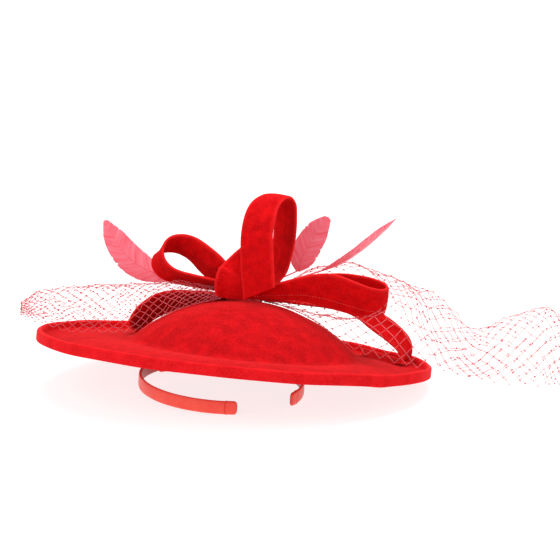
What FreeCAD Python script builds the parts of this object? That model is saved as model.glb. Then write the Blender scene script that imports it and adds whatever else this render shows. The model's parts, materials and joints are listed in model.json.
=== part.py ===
"""Fascinator headpiece: a velvet saucer hat with a ribbon bow, feathers and net veil on a hinged headband.

Millimetres, +Z up. The hat lies tilted on a table, with the headband folded under it, and the origin is at the
middle of the bottom of the whole object's box. The hat's own frame has its origin at the centre of the brim, on the
plane that the crown stands on. Each ribbon, layer and band is a strip: a path of straight runs and tangent arcs in
one plane, given a thickness across the path and a width out of the plane.
"""

import FreeCAD, Part
import math
import os

V = FreeCAD.Vector
ROTATION = FreeCAD.Rotation
X_AXIS = V(1, 0, 0)
Y_AXIS = V(0, 1, 0)
Z_AXIS = V(0, 0, 1)

SIZES = [
    ("ribbon_width", 28.0, "width of the bow's velvet ribbon"),
    ("ribbon_thick", 2.2, "a folded, stitched ribbon"),
    ("velvet_thick", 0.9, "velvet cover"),
    ("buckram_thick", 1.6, "stiffened saucer and crown"),
    ("brim_flat_radius", 97.0, "flat middle of the saucer"),
    ("brim_shoulder_radius", 110.0, "bend where the brim starts to fall"),
    ("brim_fall_angle", 12.0, "slope of the brim"),
    ("brim_fall_run", 11.4, "straight part of the slope"),
    ("brim_upturn_radius", 38.0, "bend up to the rolled edge"),
    ("brim_upturn_angle", 26.0, "turn of that bend"),
    ("brim_tuck", 1.15, "straight part past that bend, trimmed to the rolled edge"),
    ("rim_radius", 150.9, "middle of the rolled edge"),
    ("rim_thick", 3.5, "rolled edge, across"),
    ("rim_top", 1.0, "rolled edge above the crown's plane"),
    ("rim_depth", 9.3, "height of the rolled edge"),
    ("wire_thick", 1.2, "millinery wire"),
    ("wire_room", 1.8, "channel for the wire"),
    ("crown_sphere", 125.5, "outside radius of the domed crown"),
    ("crown_height", 37.0, "height of the crown"),
    ("crown_shift", 8.0, "crown's centre, to the wearer's side"),
    ("crown_opening", 80.0, "hole in the brim's top cover under the crown"),
    ("pad_radius", 14.0, "pad under the bow"),
    ("pad_top", 38.4, "top of that pad"),
    ("bundle_radius", 5.0, "stitched middle of the bow"),
    ("bundle_rise", 12.0, "height of that middle"),
    ("knot_width", 22.0, "folded width of the knot's ribbon"),
    ("bow_side", 4.0, "bow's centre across the hat"),
    ("bow_back", 14.0, "bow's centre behind the hat's centre"),
    ("feather_thick", 0.8, "vane of a feather"),
    ("quill_thick", 1.4, "stripped quill"),
    ("quill_gap", 0.3, "between a bare quill's end and its vane"),
    ("root_back", 16.3, "quills' root behind the bow's centre"),
    ("root_rise", 4.8, "quills' root above the pad"),
    ("root_spread", 2.2, "each quill from the middle of the root"),
    ("root_clear", 0.4, "quills' ends in front of the binding's face"),
    ("binding_length", 6.0, "thread wound round the quills"),
    ("veil_thick", 1.0, "net with its knots"),
    ("hat_height", 31.35, "crown's plane above the table"),
    ("hat_pitch", 6.8, "back edge down"),
    ("hat_roll", 5.6, "right edge down"),
    ("band_width", 10.5, "headband, wide"),
    ("band_thick", 2.4, "headband, thick"),
    ("core_width", 8.5, "plastic core, wide"),
    ("core_thick", 1.2, "plastic core, thick"),
    ("tip_length", 8.0, "folded satin end"),
    ("tip_extra", 0.5, "how far the folded end stands proud"),
    ("core_short", 1.0, "degrees of the last arc that the core stops short of a tip"),
    ("apex_side", -45.0, "headband's middle across the hat"),
    ("apex_back", 20.5, "headband's middle behind the hat's centre"),
    ("apex_height", 17.0, "headband's middle above the table"),
    ("band_yaw", 34.1, "headband's turn about the vertical"),
    ("band_dip", 5.44, "how far the folded arms dip"),
    ("keeper_radius", 6.6, "inside of a keeper loop"),
    ("keeper_thick", 0.7, "keeper loop ribbon"),
    ("keeper_width", 6.0, "keeper loop ribbon, wide"),
    ("keeper_gap", 12.0, "keeper loop from the middle"),
    ("keeper_lead", 8.0, "from the hinge up to the end of a keeper's leads"),
    ("patch_length", 62.0, "anchor patch, long"),
    ("patch_width", 26.0, "anchor patch, wide"),
    ("patch_thick", 2.0, "anchor patch, thick"),
    ("stitch_long", 4.0, "one anchor stitch"),
    ("stitch_thick", 0.8, "thread of an anchor stitch"),
    ("stitch_side", 8.0, "anchor stitch from its keeper, along the patch"),
    ("stitch_row", 10.0, "anchor stitch from the patch's middle line"),
]

BAND_ARCS = [(62.0, 50.0), (63.0, 51.0), (65.5, 54.0)]   # half of the hoop from its middle: radius, turn
VANE_WIDEST = 0.55    # where a vane is widest, as a share of its length
NET_BULGE = 0.06      # how far a side of the net bows out, as a share of its length


def make_sheet(doc):
    """Puts the driving sizes in a spreadsheet and returns it."""
    sheet = doc.addObject("Spreadsheet::Sheet", "sizes")
    for row, (name, value, note) in enumerate(SIZES, start=1):
        sheet.set("A%d" % row, name)
        sheet.set("B%d" % row, str(value))
        sheet.set("C%d" % row, note)
        sheet.setAlias("B%d" % row, name)
    doc.recompute()
    return sheet


DOC = FreeCAD.newDocument("fascinator")
SHEET = make_sheet(DOC)
NODES = []


def size(name):
    """A driving size, read from the sheet."""
    return float(SHEET.get(name))


# ---- paths and sketches ------------------------------------------------------------------------------------------

def walk(moves, start=(0.0, 0.0), heading=0.0):
    """Follows runs ("run", length) and turns ("turn", radius, degrees to the left) and returns the pieces of the
    path, each as (kind, start, heading, amount, radius), with the end point and heading last."""
    x, y = start
    pieces = []
    for move in moves:
        angle = math.radians(heading)
        if move[0] == "run":
            pieces.append(("run", (x, y), heading, move[1], 0.0))
            x += move[1] * math.cos(angle)
            y += move[1] * math.sin(angle)
            continue
        radius, turn = move[1], move[2]
        side = 1.0 if turn > 0 else -1.0
        pieces.append(("turn", (x, y), heading, turn, radius))
        centre_x = x - side * radius * math.sin(angle)
        centre_y = y + side * radius * math.cos(angle)
        heading += turn
        angle = math.radians(heading)
        x = centre_x + side * radius * math.sin(angle)
        y = centre_y - side * radius * math.cos(angle)
    return pieces, (x, y), heading


def beside(point, heading, offset):
    """The point a distance to the left of a place on the path."""
    angle = math.radians(heading)
    return V(point[0] - offset * math.sin(angle), point[1] + offset * math.cos(angle), 0)


def offset_edges(pieces, offset):
    """The edges of the path moved sideways by the offset, with the first and last points."""
    edges = []
    first = last = None
    for kind, point, heading, amount, radius in pieces:
        begin = beside(point, heading, offset)
        if kind == "run":
            angle = math.radians(heading)
            end = begin + V(amount * math.cos(angle), amount * math.sin(angle), 0)
            edges.append(Part.LineSegment(begin, end))
        else:
            side = 1.0 if amount > 0 else -1.0
            centre = beside(point, heading, side * radius)
            reach = radius - side * offset
            middle = centre + radial(heading + amount / 2, side, reach)
            end = centre + radial(heading + amount, side, reach)
            edges.append(Part.Arc(begin, middle, end))
        first = first or begin
        last = end
    return edges, first, last


def radial(heading, side, reach):
    """The arm from an arc's centre to the place on it with this heading."""
    angle = math.radians(heading)
    return V(side * reach * math.sin(angle), -side * reach * math.cos(angle), 0)


def strip_edges(pieces, low, high):
    """The closed outline of the path between two sideways offsets."""
    lower, lower_first, lower_last = offset_edges(pieces, low)
    upper, upper_first, upper_last = offset_edges(pieces, high)
    return lower + [Part.LineSegment(lower_last, upper_last)] + upper + [Part.LineSegment(upper_first, lower_first)]


def new_body(name):
    """An empty PartDesign body."""
    return DOC.addObject("PartDesign::Body", name)


def new_sketch(body, name, role, edges):
    """A sketch of the edges on one of the body's own planes."""
    sketch = body.newObject("Sketcher::SketchObject", name)
    plane = [f for f in body.Origin.OriginFeatures if f.Role == role][0]
    sketch.AttachmentSupport = (plane, [""])
    sketch.MapMode = "FlatFace"
    for edge in edges:
        sketch.addGeometry(edge, False)
    return sketch


def pad_body(name, edges, width):
    """A body padded both ways from the XY plane, its width bound to an expression of the sheet."""
    body = new_body(name + "_body")
    sketch = new_sketch(body, name + "_outline", "XY_Plane", edges)
    pad = body.newObject("PartDesign::Pad", name + "_pad")
    pad.Profile = sketch
    pad.Midplane = True
    pad.setExpression("Length", width)
    sketch.Visibility = False
    return body


def turned_body(name, edges):
    """A body revolved round Z from a sketch of radius and height."""
    body = new_body(name + "_body")
    sketch = new_sketch(body, name + "_section", "XZ_Plane", edges)
    revolve = body.newObject("PartDesign::Revolution", name + "_revolve")
    revolve.Profile = sketch
    revolve.ReferenceAxis = (sketch, ["V_Axis"])
    revolve.Angle = 360.0
    return body


def cut(name, base, tools):
    """The base with every tool taken out of it."""
    result = base
    for number, tool in enumerate(tools, start=1):
        step = DOC.addObject("Part::Cut", "%s_cut%d" % (name, number))
        step.Base = result
        step.Tool = tool
        result = step
    return result


def node(name, thing):
    """Takes an object as the finished sub-part of this name."""
    thing.Label = name
    NODES.append(thing)
    return thing


# ---- frames -------------------------------------------------------------------------------------------------------

def hat_frame():
    """The hat's frame: tilted back and to the right, over the table."""
    turn = ROTATION(X_AXIS, -size("hat_pitch")) * ROTATION(Y_AXIS, size("hat_roll"))
    return FreeCAD.Placement(V(0, 0, size("hat_height")), turn)


def band_frame():
    """The headband's frame: X along the hinge, Y towards the tips, origin at the middle of the band."""
    turn = ROTATION(Z_AXIS, size("band_yaw")) * ROTATION(X_AXIS, 180.0 + size("band_dip"))
    return FreeCAD.Placement(V(size("apex_side"), size("apex_back"), size("apex_height")), turn)


HAT = hat_frame()
BAND = band_frame()


def in_hat(origin, along=X_AXIS, out=Z_AXIS):
    """A frame in the hat: X along the path's first direction, Z out of the path's plane."""
    out = V(out).normalize()
    along = V(along) - out * V(along).dot(out)
    along.normalize()
    turn = ROTATION(along, out.cross(along), out, "XYZ")
    return HAT * FreeCAD.Placement(V(origin), turn)


# ---- saucer and crown ----------------------------------------------------------------------------------------------

def brim_path():
    """The top of the saucer, from its middle out to the rolled edge."""
    fall = size("brim_fall_angle")
    return walk([
        ("run", size("brim_flat_radius")),
        ("turn", size("brim_shoulder_radius"), -fall),
        ("run", size("brim_fall_run")),
        ("turn", size("brim_upturn_radius"), size("brim_upturn_angle")),
        ("run", size("brim_tuck")),
    ])[0]


def brim_layer(name, top, thick):
    """One layer of the saucer, from this far under its top surface."""
    return turned_body(name, strip_edges(brim_path(), -top - thick, -top))


def make_saucer():
    """The stiff saucer with its covers, rolled edge and wire. Every layer runs up to the rolled edge."""
    velvet = size("velvet_thick")
    buckram = size("buckram_thick")
    radius = size("rim_radius")
    half = size("rim_thick") / 2
    high = size("rim_top") - half
    low = size("rim_top") - size("rim_depth") + half
    roll = [
        Part.LineSegment(V(radius + half, low, 0), V(radius + half, high, 0)),
        Part.Arc(V(radius + half, high, 0), V(radius, high + half, 0), V(radius - half, high, 0)),
        Part.LineSegment(V(radius - half, high, 0), V(radius - half, low, 0)),
        Part.Arc(V(radius - half, low, 0), V(radius, low - half, 0), V(radius + half, low, 0)),
        Part.Circle(V(radius, low, 0), Z_AXIS, size("wire_room") / 2),
    ]
    binding = turned_body("brim_edge_binding", roll)
    binding.Placement = HAT

    hole = DOC.addObject("Part::Cylinder", "crown_opening_tool")
    hole.setExpression("Radius", "sizes.crown_opening")
    hole.setExpression("Height", "4 * sizes.buckram_thick")
    hole.Placement = HAT * FreeCAD.Placement(V(size("crown_shift"), 0, -2 * buckram), ROTATION())
    layers = [
        ("brim_base", velvet, buckram, []),
        ("brim_top_cover", 0.0, velvet, [hole]),
        ("brim_underside_cover", velvet + buckram, velvet, []),
    ]
    for name, top, thick, holes in layers:
        layer = brim_layer(name, top, thick)
        layer.Placement = HAT
        node(name, cut(name, layer, holes + [binding]))
    node("brim_edge_binding", binding)

    wire = DOC.addObject("Part::Torus", "brim_wire_ring")
    wire.setExpression("Radius1", "sizes.rim_radius")
    wire.setExpression("Radius2", "sizes.wire_thick / 2")
    wire.Placement = HAT * FreeCAD.Placement(V(0, 0, low), ROTATION())
    node("brim_wire", wire)


def dome_edges(outer, thick):
    """Half the section of a spherical cap whose sphere is shared by every layer of the crown."""
    centre = size("crown_height") - size("crown_sphere")
    inner = outer - thick

    def on(radius, share):
        angle = math.acos(-centre / radius) * share
        return V(radius * math.sin(angle), centre + radius * math.cos(angle), 0)

    return [
        Part.Arc(on(outer, 0.0), on(outer, 0.5), on(outer, 1.0)),
        Part.LineSegment(on(outer, 1.0), on(inner, 1.0)),
        Part.Arc(on(inner, 1.0), on(inner, 0.5), on(inner, 0.0)),
        Part.LineSegment(on(inner, 0.0), on(outer, 0.0)),
    ]


def make_crown():
    """The stiff dome and its velvet cover."""
    place = HAT * FreeCAD.Placement(V(size("crown_shift"), 0, 0), ROTATION())
    outer = size("crown_sphere")
    velvet = size("velvet_thick")
    cover = turned_body("crown_cover", dome_edges(outer, velvet))
    cover.Placement = place
    node("crown_cover", cover)
    shell = turned_body("crown_shell", dome_edges(outer - velvet, size("buckram_thick")))
    shell.Placement = place
    node("crown_shell", shell)


# ---- bow ------------------------------------------------------------------------------------------------------------

def crown_ball():
    """The crown's whole sphere, which the pad and the loops are trimmed to."""
    ball = DOC.addObject("Part::Sphere", "crown_ball")
    ball.setExpression("Radius", "sizes.crown_sphere")
    centre = V(size("crown_shift"), 0, size("crown_height") - size("crown_sphere"))
    ball.Placement = HAT * FreeCAD.Placement(centre, ROTATION())
    return ball


def make_bow_middle(ball):
    """The pad that the bow is sewn to and the stitched bundle where its loops meet."""
    side = size("bow_side")
    back = size("bow_back")
    pad = DOC.addObject("Part::Cylinder", "bow_base_pad_disc")
    pad.setExpression("Radius", "sizes.pad_radius")
    pad.setExpression("Height", "sizes.pad_radius")
    pad.Placement = HAT * FreeCAD.Placement(V(side, back, size("pad_top") - size("pad_radius")), ROTATION())
    pad = cut("bow_base_pad", pad, [ball])
    node("bow_base_pad", pad)
    bundle = DOC.addObject("Part::Cylinder", "bow_centre_wrap_roll")
    bundle.setExpression("Radius", "sizes.bundle_radius")
    bundle.setExpression("Height", "sizes.bundle_rise")
    bundle.Placement = HAT * FreeCAD.Placement(V(side, back, size("pad_top")), ROTATION())
    node("bow_centre_wrap", bundle)
    return pad, bundle


def ribbon(name, moves, heading, place, tools, width="sizes.ribbon_width"):
    """One ribbon loop: a strip along the moves, as wide as the ribbon, trimmed clear of the tools."""
    half = size("ribbon_thick") / 2
    pieces = walk(moves, heading=heading)[0]
    body = pad_body(name, strip_edges(pieces, -half, half), width)
    body.Placement = place
    return node(name, cut(name, body, tools))


def make_bow(ball, pad, bundle):
    """The six ribbon loops. Gives back the upright one."""
    up = ribbon("upright_loop",
                [("run", 60.0), ("turn", 17.0, -200.0), ("run", 52.0)], 100.0,
                in_hat((10.5, 6.0, 39.5), (0.37, 0.93, 0.0), (0.93, -0.37, 0.0)), [bundle])
    left = ribbon("left_loop",
                  [("run", 47.0), ("turn", 13.5, 205.0), ("run", 42.0)], 5.0,
                  in_hat((-4.5, 16.0, 46.5), (-1.0, 0.0, 0.0), (-0.07, 0.86, -0.5)), [bundle])
    right = ribbon("right_loop",
                   [("run", 85.0), ("turn", 9.0, 180.0), ("run", 80.0)], -3.0,
                   in_hat((19.5, 4.0, 53.0), (0.99, 0.0, -0.07), (0.08, -0.34, 0.94)), [up])
    ribbon("lower_left_loop",
           [("run", 54.0), ("turn", 16.5, -172.0)], 0.0,
           in_hat((-12.0, 21.0, 39.5), (-0.9, 0.42, 0.0), (0.42, 0.89, -0.12)), [pad, left])
    ribbon("lower_right_loop",
           [("run", 66.0), ("turn", 30.0, 50.0), ("turn", 12.0, 132.0), ("run", 22.0)], 3.0,
           in_hat((24.0, 21.0, 41.5), (0.93, 0.36, 0.0), (-0.36, 0.93, 0.16)), [up, right, ball])
    ribbon("knot_loop",
           [("run", 15.0), ("turn", 3.0, 180.0), ("run", 13.0)], 0.0,
           in_hat((-3.0, 1.0, 52.0), (-0.8, 0.0, 0.6), (0.6, 0.0, 0.8)), [up, left],
           "sizes.knot_width")
    return up


# ---- feathers -------------------------------------------------------------------------------------------------------

def leaf_edges(length, half_width, bend):
    """A feather's vane seen flat: two arcs from its foot to its tip."""
    foot = V(0, 0, 0)
    tip = V(length, bend, 0)
    return [
        Part.Arc(foot, V(length * VANE_WIDEST, half_width + bend / 2, 0), tip),
        Part.Arc(tip, V(length * VANE_WIDEST, bend / 2 - half_width, 0), foot),
    ]


def feather(name, length, half_width, bend, foot, along, out, root, binding):
    """One feather: its vane, and its bare quill from the vane's foot to the root, where it meets the binding."""
    place = in_hat(foot, along, out)
    vane = pad_body(name + "_vane", leaf_edges(length, half_width, bend), "sizes.feather_thick")
    vane.Placement = place
    node(name + "_vane", vane)
    bare = V(root) - V(foot)
    quill = DOC.addObject("Part::Cone", name + "_quill_rod")
    quill.setExpression("Radius1", "sizes.quill_thick / 2")
    quill.setExpression("Radius2", "sizes.quill_thick / 3")
    quill.Height = bare.Length - size("quill_gap")
    quill.Placement = HAT * FreeCAD.Placement(V(root), ROTATION(Z_AXIS, V(foot) - V(root)))
    node(name + "_quill", cut(name + "_quill", quill, [binding]))


def make_feathers(upright):
    """Three feathers with stripped quills, standing behind the bow."""
    root = V(size("bow_side"), size("bow_back") + size("root_back"), size("pad_top") + size("root_rise"))
    roll = DOC.addObject("Part::Cylinder", "quill_binding_roll")
    roll.setExpression("Radius", "3 * sizes.quill_thick")
    roll.setExpression("Height", "sizes.binding_length")
    roll.Placement = HAT * FreeCAD.Placement(root, ROTATION(Z_AXIS, V(0, -1, 0)))
    binding = node("quill_binding", cut("quill_binding", roll, [upright]))
    spread = size("root_spread")
    front = root + V(0, size("root_clear"), 0)
    feather("feather_left", 66.0, 11.0, 8.0, (-55.0, 38.0, 47.0), (-0.78, 0.05, 0.62), (0.1, -0.95, 0.2),
            front - V(spread, 0, 0), binding)
    feather("feather_middle", 48.0, 12.5, 3.0, (42.0, 38.0, 60.0), (0.45, 0.05, 0.9), (0.2, -0.97, 0.0),
            front + V(0, 0, spread), binding)
    feather("feather_right", 66.0, 4.5, 3.0, (63.0, 42.0, 64.0), (0.76, 0.05, 0.65), (0.3, -0.95, 0.0),
            front + V(spread, 0, 0), binding)


# ---- veil -----------------------------------------------------------------------------------------------------------

def bowed_edges(corners, bulge):
    """A closed outline through the corners, each side bowed outwards by a share of its length."""
    edges = []
    for first, last in zip(corners, corners[1:] + corners[:1]):
        start = V(first[0], first[1], 0)
        end = V(last[0], last[1], 0)
        across = end - start
        middle = (start + end) * 0.5 + V(across.y, -across.x, 0) * bulge
        edges.append(Part.Arc(start, middle, end))
    return edges


def veil_wing(name, corners, start, along):
    """One wing of the net: a thin upright sheet whose outline is given along the hat and up from it."""
    wing = pad_body(name, bowed_edges(corners, NET_BULGE), "sizes.veil_thick")
    wing.Placement = in_hat(start, along, V(along).cross(Z_AXIS))
    node(name, wing)


def make_veil():
    """The two wings of the net veil, one each side of the bow."""
    veil_wing("veil_right", [(0.0, 6.0), (62.0, 4.5), (112.0, -9.0), (168.0, -3.0), (172.0, 40.0), (146.0, 57.0),
                             (87.0, 31.0), (53.0, 57.0), (28.0, 60.0), (22.0, 32.0)],
              (93.0, 20.0, 0.0), (1.0, -0.22, 0.0))
    veil_wing("veil_left", [(0.0, 40.0), (58.0, 42.0), (128.0, 33.0), (146.0, 14.0), (122.0, 3.0), (70.0, 4.0),
                            (38.0, 20.0)][::-1],
              (-22.0, 5.0, 0.0), (-1.0, 0.12, 0.0))


# ---- anchor and headband ----------------------------------------------------------------------------------------------

def underside_place(lift):
    """A frame on the hat's underside over the headband's middle, X along the hinge, this far below the cover."""
    deep = size("velvet_thick") * 2 + size("buckram_thick")
    over = HAT.inverse().multVec(BAND.Base)
    along = HAT.Rotation.inverted().multVec(BAND.Rotation.multVec(X_AXIS))
    return in_hat((over.x, over.y, -deep - lift), along, (0, 0, -1))


def make_anchor():
    """The patch under the saucer, the two ribbon keepers that hang from it, and the stitches that hold it."""
    patch = DOC.addObject("Part::Box", "headband_anchor_patch_block")
    patch.setExpression("Length", "sizes.patch_length")
    patch.setExpression("Width", "sizes.patch_width")
    patch.setExpression("Height", "sizes.patch_thick")
    patch.Placement = underside_place(0.0) * FreeCAD.Placement(
        V(-size("patch_length") / 2, -size("patch_width") / 2, 0), ROTATION())
    node("headband_anchor_patch", patch)

    stitches = []
    for side in (-1.0, 1.0):
        for end in (-1.0, 1.0):
            for row in (-1.0, 1.0):
                stitch = DOC.addObject("Part::Box", "anchor_stitch")
                stitch.setExpression("Length", "sizes.stitch_long")
                stitch.setExpression("Width", "sizes.stitch_thick")
                stitch.setExpression("Height", "sizes.stitch_thick")
                middle = V(side * (size("keeper_gap") + end * size("stitch_side")), row * size("stitch_row"),
                           size("patch_thick"))
                stitch.Placement = underside_place(0.0) * FreeCAD.Placement(
                    middle - V(size("stitch_long") / 2, size("stitch_thick") / 2, 0), ROTATION())
                stitches.append(stitch)
    group = DOC.addObject("Part::Compound", "anchor_stitches_group")
    group.Links = stitches
    node("anchor_stitches", group)

    inner = size("keeper_radius")
    outer = inner + size("keeper_thick")
    for name, side in (("keeper_loop_left", -1.0), ("keeper_loop_right", 1.0)):
        ring = new_body(name + "_body")
        sketch = new_sketch(ring, name + "_ring", "XY_Plane",
                            [Part.Circle(V(0, 0, 0), Z_AXIS, outer), Part.Circle(V(0, 0, 0), Z_AXIS, inner)])
        pad = ring.newObject("PartDesign::Pad", name + "_pad")
        pad.Profile = sketch
        pad.Midplane = True
        pad.setExpression("Length", "sizes.keeper_width")
        tab = DOC.addObject("Part::Box", name + "_tab")
        tab.setExpression("Length", "2 * sizes.keeper_radius")
        tab.setExpression("Width", "sizes.keeper_lead")
        tab.setExpression("Height", "sizes.keeper_width")
        tab.Placement.Base = V(-inner, 0, -size("keeper_width") / 2)
        bore = DOC.addObject("Part::Cylinder", name + "_bore")
        bore.setExpression("Radius", "sizes.keeper_radius + sizes.keeper_thick / 2")
        bore.setExpression("Height", "2 * sizes.keeper_width")
        bore.Placement.Base = V(0, 0, -size("keeper_width"))
        whole = DOC.addObject("Part::Fuse", name + "_whole")
        whole.Base = ring
        whole.Tool = cut(name + "_tab_trim", tab, [bore])
        place = BAND * FreeCAD.Placement(V(side * size("keeper_gap"), 0, 0),
                                         ROTATION(Y_AXIS, -Z_AXIS, -X_AXIS, "XYZ"))
        whole.Placement = place
        node(name, cut(name, whole, [patch]))


def band_pieces(trim_turn):
    """The headband's path from tip to tip, short of each tip by this turn of the last arc."""
    arcs = list(BAND_ARCS)
    arcs[-1] = (arcs[-1][0], arcs[-1][1] - trim_turn)
    left = walk([("turn", radius, -turn) for radius, turn in arcs], heading=180.0)
    start, heading = left[1], left[2] + 180.0
    moves = [("turn", radius, turn) for radius, turn in reversed(arcs)]
    moves += [("turn", radius, turn) for radius, turn in arcs]
    return walk(moves, start, heading)


def make_headband():
    """The plastic core, its satin cover and the two folded ends."""
    radius = BAND_ARCS[-1][0]
    tip_turn = math.degrees(size("tip_length") / radius)
    core_half = size("core_thick") / 2
    band_half = size("band_thick") / 2
    core = pad_body("headband_core", strip_edges(band_pieces(size("core_short"))[0], -core_half, core_half),
                    "sizes.core_width")
    core.Placement = BAND
    node("headband_core", core)
    cover = pad_body("headband_cover", strip_edges(band_pieces(tip_turn)[0], -band_half, band_half),
                     "sizes.band_width")
    cover.Placement = BAND
    node("headband_cover", cut("headband_cover", cover, [core]))
    proud = band_half + size("tip_extra") / 2
    whole = band_pieces(0.0)
    ends = {"headband_tip_right": walk([("turn", radius, -tip_turn)], whole[1], whole[2] + 180.0)[0]}
    first = whole[0][0]
    ends["headband_tip_left"] = walk([("turn", radius, tip_turn)], first[1], first[2])[0]
    for name, pieces in sorted(ends.items()):
        tip = pad_body(name, strip_edges(pieces, -proud, proud), "sizes.band_width + sizes.tip_extra")
        tip.Placement = BAND
        node(name, cut(name, tip, [core]))


def shift_to_origin():
    """The move that brings the middle of the bottom of the whole box to the origin."""
    box = FreeCAD.BoundBox()
    for thing in NODES:
        box.add(thing.Shape.optimalBoundingBox(False, False))
    return FreeCAD.Placement(V(-box.Center.x, -box.Center.y, -box.ZMin), ROTATION())


def check_and_write():
    """Stops at any failed object or bad shape, and writes each sub-part."""
    for thing in DOC.Objects:
        if "Invalid" in thing.State or "Error" in thing.State:
            raise RuntimeError("%s failed: %s" % (thing.Name, thing.State))
    shift = shift_to_origin()
    os.makedirs("parts", exist_ok=True)
    for thing in NODES:
        shape = thing.Shape.copy()
        if shape.isNull() or not shape.isValid() or not shape.Solids:
            raise RuntimeError("%s has a bad shape" % thing.Label)
        shape.Placement = shift * shape.Placement
        shape.exportStep("parts/%s.step" % thing.Label)
        box = shape.optimalBoundingBox(False, False)
        print("%-22s %d solids %8.0f mm3  low (%.1f, %.1f, %.1f)  high (%.1f, %.1f, %.1f)" % (
            thing.Label, len(shape.Solids), shape.Volume, box.XMin, box.YMin, box.ZMin, box.XMax, box.YMax, box.ZMax))
    print("shift", shift.Base)


make_saucer()
make_crown()
BALL = crown_ball()
PAD, BUNDLE = make_bow_middle(BALL)
make_feathers(make_bow(BALL, PAD, BUNDLE))
make_veil()
make_anchor()
make_headband()
DOC.recompute()
check_and_write()
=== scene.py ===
"""Looks of a velvet saucer fascinator: ribbon bow, feathers, net veil and a hinged satin headband.

Sizes in this file are millimetres in the hat's own frame unless a name says otherwise, and every
finished mesh is in metres in the frame of the CAD model. The hat's frame stands on the crown_base
mount: X across the hat, Y to its back and Z up from the brim. The bow is arranged on a face that
leans back a little, so its points are given as side, rise and back, with the rise read on that face.
"""

import json
import logging
import math
import random
from dataclasses import dataclass, field
from enum import Enum
from typing import Callable, Optional, Sequence

import bmesh
import bpy
from mathutils import Matrix, Vector, noise

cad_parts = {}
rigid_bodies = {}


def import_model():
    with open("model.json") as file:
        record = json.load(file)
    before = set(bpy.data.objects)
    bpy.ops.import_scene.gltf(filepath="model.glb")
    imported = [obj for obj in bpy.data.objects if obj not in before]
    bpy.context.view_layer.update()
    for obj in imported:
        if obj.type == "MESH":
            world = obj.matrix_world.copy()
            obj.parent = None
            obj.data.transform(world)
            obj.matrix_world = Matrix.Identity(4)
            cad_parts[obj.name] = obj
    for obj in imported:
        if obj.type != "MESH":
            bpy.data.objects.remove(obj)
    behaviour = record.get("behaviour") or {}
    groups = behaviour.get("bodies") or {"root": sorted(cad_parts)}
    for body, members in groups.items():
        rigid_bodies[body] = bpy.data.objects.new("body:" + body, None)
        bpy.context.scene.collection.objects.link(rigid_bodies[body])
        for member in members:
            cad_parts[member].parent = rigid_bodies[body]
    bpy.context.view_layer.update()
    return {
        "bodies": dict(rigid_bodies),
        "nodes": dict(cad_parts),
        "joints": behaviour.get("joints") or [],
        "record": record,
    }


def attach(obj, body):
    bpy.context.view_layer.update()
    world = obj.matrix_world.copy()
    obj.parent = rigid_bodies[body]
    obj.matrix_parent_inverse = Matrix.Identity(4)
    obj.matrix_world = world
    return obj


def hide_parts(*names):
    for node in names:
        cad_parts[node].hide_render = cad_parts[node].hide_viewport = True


LOG = logging.getLogger("fascinator")
MM = 0.001
FACE_LEAN_DEG = 5.2      # lean of the face that the bow is arranged on
RIBBON_WIDTH = 28.0
RIBBON_THICK = 2.2
RIBBON_SEAM = 0.55       # depth of a ribbon's sewn seam

Ring = list[Vector]
Point = tuple[float, float, float]
Pair = tuple[Point, Point]


class Body(Enum):
    """The CAD bodies that pieces ride on."""

    HAT = "hat"
    HEADBAND = "headband"


class Slot(Enum):
    """The record's material slots."""

    VELVET = "velvet"
    RIM = "velvet_rim"
    RIBBON = "velvet_ribbon"
    BUCKRAM = "buckram"
    FELT = "felt"
    WIRE = "steel_wire"
    THREAD = "thread"
    SATIN = "satin"
    PLASTIC = "headband_plastic"
    VANE = "feather_vane"
    QUILL = "feather_quill"
    NET = "net"


# ---- colour and nodes ----------------------------------------------------------------------------

def linear(hex_colour: str) -> tuple[float, float, float, float]:
    """Turns an sRGB hex colour to linear.

    Args:
        hex_colour: six hex digits.

    Returns:
        Red, green, blue and an alpha of 1.
    """
    channels = [int(hex_colour[i:i + 2], 16) / 255.0 for i in (0, 2, 4)]
    return tuple(c / 12.92 if c <= 0.04045 else ((c + 0.055) / 1.055) ** 2.4 for c in channels) + (1.0,)


def add_node(tree: bpy.types.NodeTree, kind: str, settings: Optional[dict] = None,
             inputs: Optional[dict] = None) -> bpy.types.Node:
    """Adds one node.

    Args:
        tree: the tree that it goes in.
        kind: its bl_idname.
        settings: attributes to set on the node.
        inputs: socket names or numbers, each with a value or an output socket to link.

    Returns:
        The new node.
    """
    node = tree.nodes.new(kind)
    for name, value in (settings or {}).items():
        setattr(node, name, value)
    for name, value in (inputs or {}).items():
        if isinstance(value, bpy.types.NodeSocket):
            tree.links.new(value, node.inputs[name])
        else:
            node.inputs[name].default_value = value
    return node


def new_material(name: str) -> tuple[bpy.types.Material, bpy.types.NodeTree, bpy.types.Node]:
    """Makes a material with only its output and one Principled shader.

    Args:
        name: the finish's own name.

    Returns:
        The material, its tree and the shader.
    """
    material = bpy.data.materials.new(name)
    material.use_nodes = True
    tree = material.node_tree
    tree.nodes.clear()
    shader = add_node(tree, "ShaderNodeBsdfPrincipled")
    add_node(tree, "ShaderNodeOutputMaterial", inputs={"Surface": shader.outputs["BSDF"]})
    return material, tree, shader


def blend_colours(tree: bpy.types.NodeTree, factor: bpy.types.NodeSocket, low: object,
                  high: object) -> bpy.types.NodeSocket:
    """Mixes two colours.

    Args:
        tree: the material's tree.
        factor: 0 gives low and 1 gives high.
        low: a linear colour or a colour socket.
        high: a linear colour or a colour socket.

    Returns:
        The mixed colour's socket.
    """
    mix = add_node(tree, "ShaderNodeMix", {"data_type": "RGBA"}, {0: factor, 6: low, 7: high})
    return mix.outputs[2]


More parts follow.
